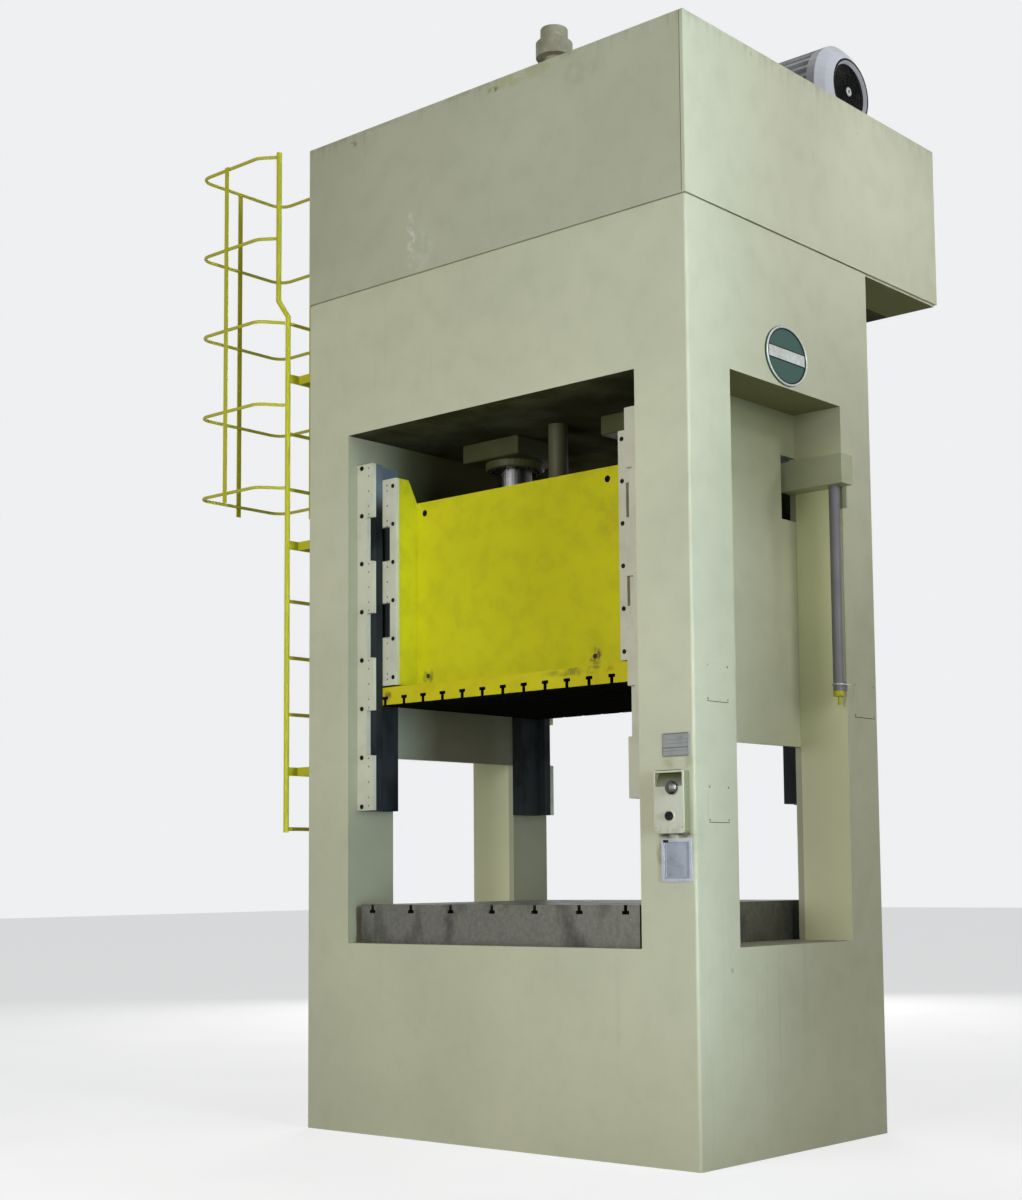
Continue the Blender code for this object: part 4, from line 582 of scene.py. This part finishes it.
dress(OILED, *["prefill_valve_" + s for s in SIDES], *["pressure_pipe_" + s for s in SIDES])
dress(SILVER, "palm_button")
dress(BLACK, "stop_button")
dress(GREEN, "oval_plate")


# Mesh helpers


def piece(name, mesh_data, material, body="frame"):
    """Turn mesh data into a named object that rides with a body of the part."""
    mesh = bpy.data.meshes.new(name)
    bmesh.ops.recalc_face_normals(mesh_data, faces=mesh_data.faces)
    mesh_data.to_mesh(mesh)
    mesh_data.free()
    mesh.materials.append(material)
    obj = bpy.data.objects.new(name, mesh)
    bpy.context.scene.collection.objects.link(obj)
    mesh.shade_smooth()
    mesh.set_sharp_from_angle(angle=SHARP_ANGLE)
    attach(obj, body)


def turned(mesh_data, outline, place, direction, steps=24, shape=None):
    """Lathe an outline of (radius, height) round an axis; shape bends a ring's radius."""
    turn = direction.to_track_quat("Z", "Y").to_matrix().to_4x4()
    matrix = Matrix.Translation(place) @ turn
    rings = []
    for index, (radius, height) in enumerate(outline):
        if radius == 0:
            rings.append([mesh_data.verts.new(matrix @ Vector((0, 0, height)))])
            continue
        ring = []
        for step in range(steps):
            angle = 2 * math.pi * step / steps
            reach = radius * (shape(angle) if shape and shape_ring(index, outline) else 1.0)
            spot = Vector((reach * math.cos(angle), reach * math.sin(angle), height))
            ring.append(mesh_data.verts.new(matrix @ spot))
        rings.append(ring)
    for low, high in zip(rings, rings[1:]):
        for step in range(steps):
            after = (step + 1) % steps
            if len(low) == 1:
                mesh_data.faces.new((low[0], high[step], high[after]))
            elif len(high) == 1:
                mesh_data.faces.new((low[step], low[after], high[0]))
            else:
                mesh_data.faces.new((low[step], low[after], high[after], high[step]))


def shape_ring(index, outline):
    return index >= len(outline) - 3


def hexagon(angle):
    part = (angle + math.pi / 6) % (math.pi / 3) - math.pi / 6
    return math.cos(math.pi / 6) / math.cos(part)


def socket_screw(mesh_data, place, direction, radius, height, steps=24):
    """Socket-head cap screw: a chamfered round head with a hexagon socket."""
    edge = radius * 0.12
    hollow = radius * 0.58
    outline = (
        (radius, SUNK),
        (radius, height - edge),
        (radius - edge, height),
        (hollow, height),
        (hollow, height * 0.25),
        (0, height * 0.25),
    )
    turned(mesh_data, outline, place, direction, steps, hexagon)


def bolt_circle(mesh_data, x, z, reach, count, direction, radius, height, steps=24):
    """Cap screws on a circle round a cylinder's centre."""
    for step in range(count):
        angle = 2 * math.pi * (step + 0.5) / count
        place = (x + reach * math.cos(angle), reach * math.sin(angle), z)
        socket_screw(mesh_data, place, direction, radius, height, steps)


def dome_screw(mesh_data, place, direction, radius):
    outline = (
        (radius, SUNK),
        (radius * 0.97, radius * 0.16),
        (radius * 0.72, radius * 0.34),
        (radius * 0.30, radius * 0.42),
        (0, radius * 0.43),
    )
    turned(mesh_data, outline, place, direction, 14)


def slab(mesh_data, low, high, edge):
    """A box with softened edges."""
    made = bmesh.ops.create_cube(mesh_data, size=1.0)["verts"]
    size = Vector(high) - Vector(low)
    centre = (Vector(high) + Vector(low)) / 2
    bmesh.ops.scale(mesh_data, vec=size, verts=made)
    bmesh.ops.translate(mesh_data, vec=centre, verts=made)
    edges = list({e for v in made for e in v.link_edges})
    bmesh.ops.bevel(mesh_data, geom=edges, offset=edge, segments=2, profile=0.7, affect="EDGES")


def rounded_plate(mesh_data, centre, width, height, thick, corner, turn):
    """A flat plate with round corners, facing -Y before it is turned about Z."""
    ring = []
    for cx, cz, start in (
        (width / 2 - corner, height / 2 - corner, 0),
        (-width / 2 + corner, height / 2 - corner, 90),
        (-width / 2 + corner, -height / 2 + corner, 180),
        (width / 2 - corner, -height / 2 + corner, 270),
    ):
        for step in range(5):
            angle = math.radians(start + 22.5 * step)
            ring.append((cx + corner * math.cos(angle), cz + corner * math.sin(angle)))
    matrix = Matrix.Translation(centre) @ Matrix.Rotation(turn, 4, "Z")
    edge = min(thick * 0.4, 0.0008)
    layers = ((1.0, 0.0), (1.0, thick - edge), (1.0 - 2 * edge / width, thick))
    rows = []
    for share, depth in layers:
        rows.append(
            [mesh_data.verts.new(matrix @ Vector((x * share, -depth, z * share))) for x, z in ring]
        )
    for low, high in zip(rows, rows[1:]):
        for index in range(len(ring)):
            after = (index + 1) % len(ring)
            mesh_data.faces.new((low[index], low[after], high[after], high[index]))
    mesh_data.faces.new(rows[-1])
    mesh_data.faces.new(rows[0])


def tube(mesh_data, points, radius, steps=12, closed=False):
    """A round bar along a chain of points."""
    points = [Vector(p) for p in points]
    count = len(points)
    rings = []
    normal = None
    for index, point in enumerate(points):
        before = points[index - 1] if closed or index else point
        after = points[(index + 1) % count] if closed or index < count - 1 else point
        along = (after - before).normalized()
        if normal is None:
            normal = along.orthogonal().normalized()
        normal = (normal - along * normal.dot(along)).normalized()
        side = along.cross(normal)
        ring = []
        for step in range(steps):
            angle = 2 * math.pi * step / steps
            reach = (normal * math.cos(angle) + side * math.sin(angle)) * radius
            ring.append(mesh_data.verts.new(point + reach))
        rings.append(ring)
    pairs = list(zip(rings, rings[1:]))
    if closed:
        pairs.append((rings[-1], rings[0]))
    for low, high in pairs:
        for step in range(steps):
            after = (step + 1) % steps
            mesh_data.faces.new((low[step], low[after], high[after], high[step]))
    if not closed:
        mesh_data.faces.new(rings[0])
        mesh_data.faces.new(rings[-1])


def front_loop(mesh_data, across, upward, y, radius):
    """A thin rectangular line on a front face, between two x and two z."""
    corners = [(across[0], upward[0]), (across[1], upward[0]), (across[1], upward[1]),
               (across[0], upward[1])]
    tube(mesh_data, [(x, y, z) for x, z in corners], radius, 6, True)


def oval_points(x, y, z, half_y, half_z, steps):
    """Points of an ellipse that faces along X."""
    return [
        (x, y + half_y * math.cos(a), z + half_z * math.sin(a))
        for a in [2 * math.pi * i / steps for i in range(steps)]
    ]


# Fasteners, plates and fittings


def guide_fasteners():
    """Bolts and pins on the guide bars and wear plates; none of the pins on the right front bar."""
    gib_margin = (GIB_TOP - GIB_BOTTOM - 7 * GIB_BOLT_PITCH) / 2
    wear_margin = (WEAR_TOP - WEAR_BOTTOM - 5 * WEAR_BOLT_PITCH) / 2
    gib_heights = [GIB_BOTTOM + gib_margin + i * GIB_BOLT_PITCH for i in range(8)]
    wear_heights = [WEAR_BOTTOM + wear_margin + i * WEAR_BOLT_PITCH for i in range(6)]
    bolts = bmesh.new()
    screws = bmesh.new()
    slide_bolts = bmesh.new()
    slide_screws = bmesh.new()
    for direction in (FRONT, BACK):
        for side in (-1, 1):
            face = direction.y * GIB_BAR_FACE
            for height in gib_heights:
                socket_screw(bolts, (side * GIB_BOLT_X, face, height), direction, *GIB_BOLT_HEAD)
            for low in gib_heights[::2]:
                middle = low + GIB_BOLT_PITCH / 2
                if direction == FRONT and side == 1:
                    continue
                for offset in GIB_PIN_STEPS:
                    place = (side * GIB_SCREW_X, face, middle + offset)
                    socket_screw(screws, place, direction, *PIN_HEAD, 12)
            face = direction.y * WEAR_FACE
            for height in wear_heights:
                place = (side * WEAR_BOLT_X, face, height)
                socket_screw(slide_bolts, place, direction, *WEAR_BOLT_HEAD)
            for low in wear_heights[::2]:
                middle = low + WEAR_BOLT_PITCH / 2
                for x, offsets in WEAR_PINS:
                    for offset in offsets:
                        place = (side * x, face, middle + offset)
                        socket_screw(slide_screws, place, direction, *PIN_HEAD, 12)
    piece("gib_bar_bolts", bolts, BLACK_BOLT)
    piece("gib_bar_screws", screws, GREY_SCREW)
    piece("wear_plate_bolts", slide_bolts, BLACK_BOLT, "slide")
    piece("wear_plate_screws", slide_screws, GREY_SCREW, "slide")


def slide_details():
    """Lifting holes, plugs at the slide's foot, and bolts round the rods' feet."""
    rings = bmesh.new()
    holes = bmesh.new()
    for x in LIFTING_HOLES_X:
        turned(
            rings,
            ((0.0188, 0.0), (0.0180, 0.0004), (0.0178, -0.030), (0, -0.030)),
            (x, -SLIDE_HALF_DEPTH, LIFTING_HOLE_Z), FRONT, 32,
        )
    for x, z in (FOOT_BOSS, FOOT_PLUG):
        turned(
            holes,
            ((0.014, SUNK), (0.0138, 0.0015), (0.012, 0.0022), (0.007, 0.0022), (0.007, 0.0006),
             (0, 0.0006)),
            (x, -SLIDE_HALF_DEPTH, z), FRONT, 24, hexagon,
        )
    piece("lifting_hole_threads", rings, BLACK_SEAM, "slide")
    piece("slide_hole_plugs", holes, BLACK_SEAM, "slide")

    foot_bolts = bmesh.new()
    for side in (-1, 1):
        bolt_circle(foot_bolts, side * CYLINDER_X, ROD_FOOT_TOP, 0.138, 8, UP, *ROD_FOOT_HEAD)
    piece("rod_foot_bolts", foot_bolts, BLACK_BOLT, "slide")


def rod_cap():
    """Round cap over the stop rod's tip, riding with the slide."""
    cap = bmesh.new()
    turned(
        cap,
        ((0.0575, 0.0), (0.078, 0.0), (0.080, 0.0026), (0.080, 0.0226), (0.0788, 0.0241),
         (0.0788, 0.0266), (0.080, 0.0281), (0.080, 0.0676), (0.0775, 0.0736), (0.070, 0.0766),
         (0.030, 0.0772), (0, 0.0773)),
        (0.0, STOP_ROD_Y, CAP_FOOT), UP, 48,
    )
    piece("stop_rod_cap", cap, PAINT["cap"], "slide")


def cylinder_bolts():
    bolts = bmesh.new()
    for side in (-1, 1):
        bolt_circle(bolts, side * CYLINDER_X, GLAND_BOTTOM, 0.140, 12, DOWN, *GLAND_HEAD, 18)
    piece("cylinder_head_bolts", bolts, BLACK_BOLT)


def side_covers():
    """Thin painted covers on the right side, with screws and a grimy lower seam."""
    plates = bmesh.new()
    screws = bmesh.new()
    seams = bmesh.new()
    x = HALF_WIDTH
    for y, z, width, height in COVERS:
        centre = Vector((x + 0.0001, y, z))
        rounded_plate(plates, centre, width, height, COVER_THICK, 0.006, math.pi / 2)
        low = z - height / 2
        tube(
            seams,
            [(x + 0.0006, y - width / 2 + 0.006, low), (x + 0.0006, y + width / 2 - 0.006, low)],
            0.0022, 8,
        )
        across, upward = width / 2 - 0.011, height / 2 - 0.011
        for dy in (-1, 1):
            for dz in (-1, 1):
                place = (x + COVER_THICK, y + dy * across, z + dz * upward)
                dome_screw(screws, place, RIGHT, 0.0062)
    piece("access_covers", plates, PAINT["frame"])
    piece("access_cover_seams", seams, BLACK_SEAM)
    piece("access_cover_screws", screws, GREY_SCREW)


def column_plates():
    """Bare data plate and a framed blank notice on the right front column."""
    y = -HALF_DEPTH
    plate = bmesh.new()
    centre = Vector((1.288, y - 0.0001, 2.046))
    rounded_plate(plate, centre, 0.172, 0.120, DATA_PLATE_THICK, 0.004, 0)
    piece("data_plate", plate, PLATE)
    border = bmesh.new()
    front_loop(border, DATA_PLATE_X, DATA_PLATE_Z, y - 0.0017, 0.0022)
    for height, radius in DATA_PLATE_RULES:
        tube(border, [(1.211, y - 0.0012, height), (1.365, y - 0.0012, height)], radius, 6)
    piece("data_plate_border", border, OILED)
    rivets = bmesh.new()
    for x in (DATA_PLATE_X[0] + 0.0005, DATA_PLATE_X[1] - 0.0005):
        for z in (DATA_PLATE_Z[0] + 0.0005, DATA_PLATE_Z[1] - 0.0005):
            dome_screw(rivets, (x, y - 0.0017, z), FRONT, 0.0035)
    piece("data_plate_rivets", rivets, ZINC)

    frame_mesh = bmesh.new()
    left, right = NOTICE_X
    low, high = NOTICE_Z
    inner_low, inner_high = low + NOTICE_BAR, high - NOTICE_BAR
    for x0, x1, z0, z1 in (
        (left, right, inner_high, high),
        (left, right, low, inner_low),
        (left, left + NOTICE_BAR, inner_low, inner_high),
        (right - NOTICE_BAR, right, inner_low, inner_high),
    ):
        slab(frame_mesh, (x0, y - 0.007, z0), (x1, y - 0.0001, z1), 0.0015)
    piece("notice_frame", frame_mesh, SLEEVE)
    paper = bmesh.new()
    rounded_plate(paper, Vector((1.285, y - 0.0002, 1.4825)), 0.154, 0.179, 0.0012, 0.002, 0)
    piece("notice_sheet", paper, PAPER)
    line = bmesh.new()
    front_loop(line, (1.219, 1.351), (1.402, 1.563), y - 0.0016, 0.0012)
    piece("notice_line", line, SLEEVE)
    clip = bmesh.new()
    slab(clip, (1.206, y - 0.009, 1.570), (1.236, y - 0.006, 1.582), 0.001)
    piece("notice_clip", clip, BLACK)


def operator_box_details():
    """Collar and label at the black knob, its centre, and the box's two screws."""
    collars = bmesh.new()
    turned(
        collars,
        ((0.0300, SUNK), (0.0300, 0.0018), (0.0280, 0.0026), (0.0225, 0.0026), (0.0225, 0.0002)),
        (KNOB_X, BOX_FACE, KNOB_Z), FRONT, 32,
    )
    piece("button_collars", collars, PAINT["guides"])
    label = bmesh.new()
    place = Vector((KNOB_X + 0.014, BOX_FACE - 0.0001, KNOB_Z + 0.041))
    rounded_plate(label, place, 0.030, 0.012, 0.001, 0.002, 0)
    piece("button_blank_plate", label, PAINT["guides"])
    nut = bmesh.new()
    turned(
        nut,
        ((0.0110, 0.0), (0.0110, 0.0012), (0.0075, 0.0018), (0, 0.0018)),
        (KNOB_X, BOX_FACE - KNOB_LENGTH, KNOB_Z), FRONT, 20,
    )
    piece("knob_centre", nut, BLACK, "stop_button")
    screws = bmesh.new()
    for dx in (-0.080, 0.080):
        dome_screw(screws, (BOX_X + dx, BOX_FACE, 1.640), FRONT, 0.0042)
    piece("operator_box_screws", screws, GREY_SCREW)


def badge_details():
    """Plain oval badge: raised pale rim and a plain pale band, no lettering."""
    x = HALF_WIDTH + 0.0083
    lift = x + 0.001

    def oval(share):
        half_y, half_z = BADGE_HALF_Y * share, BADGE_HALF_Z * share
        return oval_points(lift, BADGE_Y, BADGE_Z, half_y, half_z, 72)

    def reach(height, share):
        """Half the width of the oval at a height over its middle."""
        return BADGE_HALF_Y * share * math.sqrt(1 - (height / (BADGE_HALF_Z * share)) ** 2)

    rim = bmesh.new()
    tube(rim, oval(0.955), 0.0058, 10, True)
    piece("badge_rim", rim, RIM)
    edge = bmesh.new()
    tube(edge, oval(0.895), 0.0026, 8, True)
    for height in (-0.030, 0.036):
        ends = (-reach(height, 0.89), reach(height, 0.89))
        tube(edge, [(lift, BADGE_Y + end, BADGE_Z + height) for end in ends], 0.0026, 8)
    piece("badge_lines", edge, BLACK)
    band = bmesh.new()
    corners = []
    for depth in (SUNK, 0.0016):
        corners.append(
            [band.verts.new((x + depth, BADGE_Y + sign * reach(height, 0.88), BADGE_Z + height))
             for height, sign in ((-0.027, -1), (-0.027, 1), (0.033, 1), (0.033, -1))]
        )
    band.faces.new(corners[1])
    for index in range(4):
        after = (index + 1) % 4
        band.faces.new((corners[0][index], corners[0][after], corners[1][after], corners[1][index]))
    piece("badge_band", band, RIM)
    rivets = bmesh.new()
    for sign in (-1, 1):
        dome_screw(rivets, (x, BADGE_Y + sign * BADGE_HALF_Y * 0.80, BADGE_Z + 0.003), RIGHT, 0.006)
    piece("badge_rivets", rivets, ZINC)


def motor_fan():
    """Black grille on the motor's end with its pale centre ring and a rim."""
    grille = bmesh.new()
    place = (MOTOR_END - FAN_SETBACK, MOTOR_Y, MOTOR_Z)
    turned(grille, ((0.163, 0.0), (0.163, 0.002), (0, 0.002)), place, RIGHT, 48)
    turned(
        grille,
        ((0.176, SUNK), (0.177, 0.0016), (0.186, 0.0020), (0.1885, 0.0010), (0.1895, SUNK)),
        (MOTOR_END, MOTOR_Y, MOTOR_Z), RIGHT, 48,
    )
    for ring in range(8):
        radius = 0.030 + ring * 0.0185
        points = oval_points(place[0] + 0.008, MOTOR_Y, MOTOR_Z, radius, radius, 48)
        tube(grille, points, 0.0032, 6, True)
    for spoke in range(8):
        angle = math.pi * spoke / 4
        cos, sin = math.cos(angle), math.sin(angle)
        tube(
            grille,
            [(place[0] + 0.006, MOTOR_Y + r * cos, MOTOR_Z + r * sin) for r in (0.025, 0.160)],
            0.004, 6,
        )
    piece("motor_fan_grille", grille, BLACK)
    ring = bmesh.new()
    turned(
        ring,
        ((0.026, 0.006), (0.026, 0.014), (0.022, 0.016), (0.012, 0.016), (0.010, 0.012),
         (0.010, 0.006)),
        place, RIGHT, 32,
    )
    piece("motor_fan_hub_ring", ring, RIM)


def tube_bracket():
    """Strap round the transducer tube's foot, back to the recess wall, and its end fitting."""
    strap = bmesh.new()
    wall = RECESS_REAR_Y - 0.0012
    points = [(TUBE_X - STRAP_REACH, wall, STRAP_Z)]
    for step in range(13):
        angle = math.pi + math.pi * step / 12
        x = TUBE_X + STRAP_REACH * math.cos(angle)
        points.append((x, TUBE_Y + STRAP_REACH * math.sin(angle), STRAP_Z))
    points.append((TUBE_X + STRAP_REACH, wall, STRAP_Z))
    tube(strap, points, 0.0040, 8)
    piece("tube_strap", strap, ZINC)
    fitting = bmesh.new()
    turned(
        fitting,
        ((0, -0.004), (0.030, -0.004), (0.0312, 0.0), (0.0312, 0.020), (0.0305, 0.024)),
        (TUBE_X, TUBE_Y, TUBE_FOOT), UP, 28,
    )
    turned(
        fitting,
        ((0, -0.052), (0.009, -0.052), (0.010, -0.048), (0.010, -0.003)),
        (TUBE_X + 0.004, TUBE_Y, TUBE_FOOT), UP, 16,
    )
    piece("tube_end_fitting", fitting, PAINT["rail"])


def panel_seams():
    """Dark joint line between the guard panels at the right front corner: painted shadow of the
    gap.
    """
    seams = bmesh.new()
    y = -HALF_DEPTH + 0.0004
    tube(seams, [(CORNER_SEAM_X, y, DECK_TOP + 0.004), (CORNER_SEAM_X, y, 5.760)], 0.0016, 6)
    piece("guard_corner_seam_shadow", seams, BLACK_SEAM)


guide_fasteners()
slide_details()
rod_cap()
cylinder_bolts()
side_covers()
column_plates()
operator_box_details()
badge_details()
motor_fan()
tube_bracket()
panel_seams()


# Stage, light and camera

FLOOR_TONES = ((0.36, 0.36, 0.36), (0.40, 0.40, 0.398))
FLOOR_SEEN = (0.66, 0.665, 0.67, 1.0)
FLOOR_HALF = 60.0
SKY_COLOUR = (0.95, 0.98, 1.0, 1.0)
SKY_STRENGTH = 0.055
BACKDROP_SEEN = (0.86, 0.87, 0.88, 1.0)
CAMERA_PLACE = (6.787, -8.084, 1.406)
CAMERA_YAW = -0.6979
CAMERA_PITCH = 0.095
CAMERA_ROLL = -0.0113


def seen_rays(tree):
    """1 for camera, glossy and transmission rays, 0 for the light that falls on things."""
    path = tree.nodes.new("ShaderNodeLightPath")
    value = path.outputs["Is Camera Ray"]
    for name in ("Is Glossy Ray", "Is Transmission Ray"):
        node = tree.nodes.new("ShaderNodeMath")
        node.operation = "MAXIMUM"
        tree.links.new(value, node.inputs[0])
        tree.links.new(path.outputs[name], node.inputs[1])
        value = node.outputs[0]
    return value


def make_stage():
    """Pale floor; its glow is only seen, lights nothing and leaves the part's shadow on it."""
    s = Shader("studio_floor", 0.85, specular=0.0)
    s.colour(s.mix(s.ramp(s.noise(0.7, 3.0), 0.3, 0.7), *FLOOR_TONES))
    s.bump(s.noise(60.0, 3.0), 0.1, 0.001)
    s.shader.inputs["Emission Color"].default_value = FLOOR_SEEN
    s.tree.links.new(seen_rays(s.tree), s.shader.inputs["Emission Strength"])
    mesh = bpy.data.meshes.new("studio_floor")
    corners = [(x * FLOOR_HALF, y * FLOOR_HALF, 0) for x, y in ((-1, -1), (1, -1), (1, 1), (-1, 1))]
    mesh.from_pydata(corners, [], [(0, 1, 2, 3)])
    mesh.materials.append(s.material)
    floor = bpy.data.objects.new("studio_floor", mesh)
    bpy.context.scene.collection.objects.link(floor)


def make_world():
    """Weak sky light, with a pale backdrop for the rays that see it."""
    world = bpy.data.worlds.new("studio")
    bpy.context.scene.world = world
    world.use_nodes = True
    tree = world.node_tree
    tree.nodes.clear()
    output = tree.nodes.new("ShaderNodeOutputWorld")
    light = tree.nodes.new("ShaderNodeBackground")
    light.inputs["Color"].default_value = SKY_COLOUR
    light.inputs["Strength"].default_value = SKY_STRENGTH
    backdrop = tree.nodes.new("ShaderNodeBackground")
    backdrop.inputs["Color"].default_value = BACKDROP_SEEN
    backdrop.inputs["Strength"].default_value = 1.0
    mix = tree.nodes.new("ShaderNodeMixShader")
    tree.links.new(seen_rays(tree), mix.inputs[0])
    tree.links.new(light.outputs[0], mix.inputs[1])
    tree.links.new(backdrop.outputs[0], mix.inputs[2])
    tree.links.new(mix.outputs[0], output.inputs["Surface"])


def area_light(name, place, target, size, power, colour, spread=180, mirrored=True):
    """A rectangular lamp aimed at a point; mirrored says whether shiny things show it."""
    data = bpy.data.lights.new(name, "AREA")
    data.shape = "RECTANGLE"
    data.size, data.size_y = size
    data.energy = power
    data.color = colour
    data.spread = math.radians(spread)
    lamp = bpy.data.objects.new(name, data)
    lamp.location = place
    lamp.rotation_euler = (Vector(target) - Vector(place)).to_track_quat("-Z", "Y").to_euler()
    lamp.visible_glossy = mirrored
    bpy.context.scene.collection.objects.link(lamp)


def make_camera():
    """The camera of the photo, solved from the frame's straight edges."""
    data = bpy.data.cameras.new("photo_camera")
    data.sensor_fit = "VERTICAL"
    data.sensor_height = 36.0
    data.lens = 55.78
    data.shift_x = -0.0633
    data.shift_y = 0.0832
    data.clip_end = 300.0
    camera = bpy.data.objects.new("photo_camera", data)
    yaw, pitch, roll = CAMERA_YAW, CAMERA_PITCH, CAMERA_ROLL
    forward = Vector(
        (math.sin(yaw) * math.cos(pitch), math.cos(yaw) * math.cos(pitch), math.sin(pitch))
    )
    level = Vector((math.cos(yaw), -math.sin(yaw), 0))
    up = level.cross(forward)
    across = level * math.cos(roll) + up * math.sin(roll)
    upward = up * math.cos(roll) - level * math.sin(roll)
    turn = Matrix((across, upward, -forward)).transposed()
    camera.matrix_world = Matrix.Translation(CAMERA_PLACE) @ turn.to_4x4()
    bpy.context.scene.collection.objects.link(camera)
    bpy.context.scene.camera = camera


make_stage()
make_world()
area_light(
    "window", place=(4.4, -1.75, 3.6), target=(1.4, -1.05, 3.6), size=(0.5, 6.4),
    power=23, colour=(0.66, 0.82, 1.0), spread=40,
)
area_light(
    "front", place=(0.6, -9.0, 3.0), target=(0.0, 0.0, 2.9), size=(6.0, 3.5),
    power=480, colour=(1.0, 0.978, 0.955),
)
area_light(
    "side", place=(10.0, -1.6, 4.6), target=(1.4, -0.4, 3.2), size=(4.0, 5.0),
    power=400, colour=(0.975, 0.985, 0.975),
)
area_light(
    "rear", place=(-7.0, 9.0, 4.5), target=(0.0, 0.0, 3.2), size=(6.0, 5.0),
    power=620, colour=(1.0, 0.985, 0.96), mirrored=False,
)
area_light(
    "upper", place=(6.5, 3.0, 6.9), target=(1.4, 0.85, 5.3), size=(1.2, 1.2),
    power=12, colour=(0.93, 0.96, 1.08), spread=42, mirrored=False,
)
area_light(
    "top", place=(0.5, 0.5, 11.5), target=(0.0, 0.0, 5.0), size=(7.0, 7.0),
    power=90, colour=(1.0, 1.0, 0.97),
)
make_camera()

scene = bpy.context.scene
scene.view_settings.view_transform = "Standard"
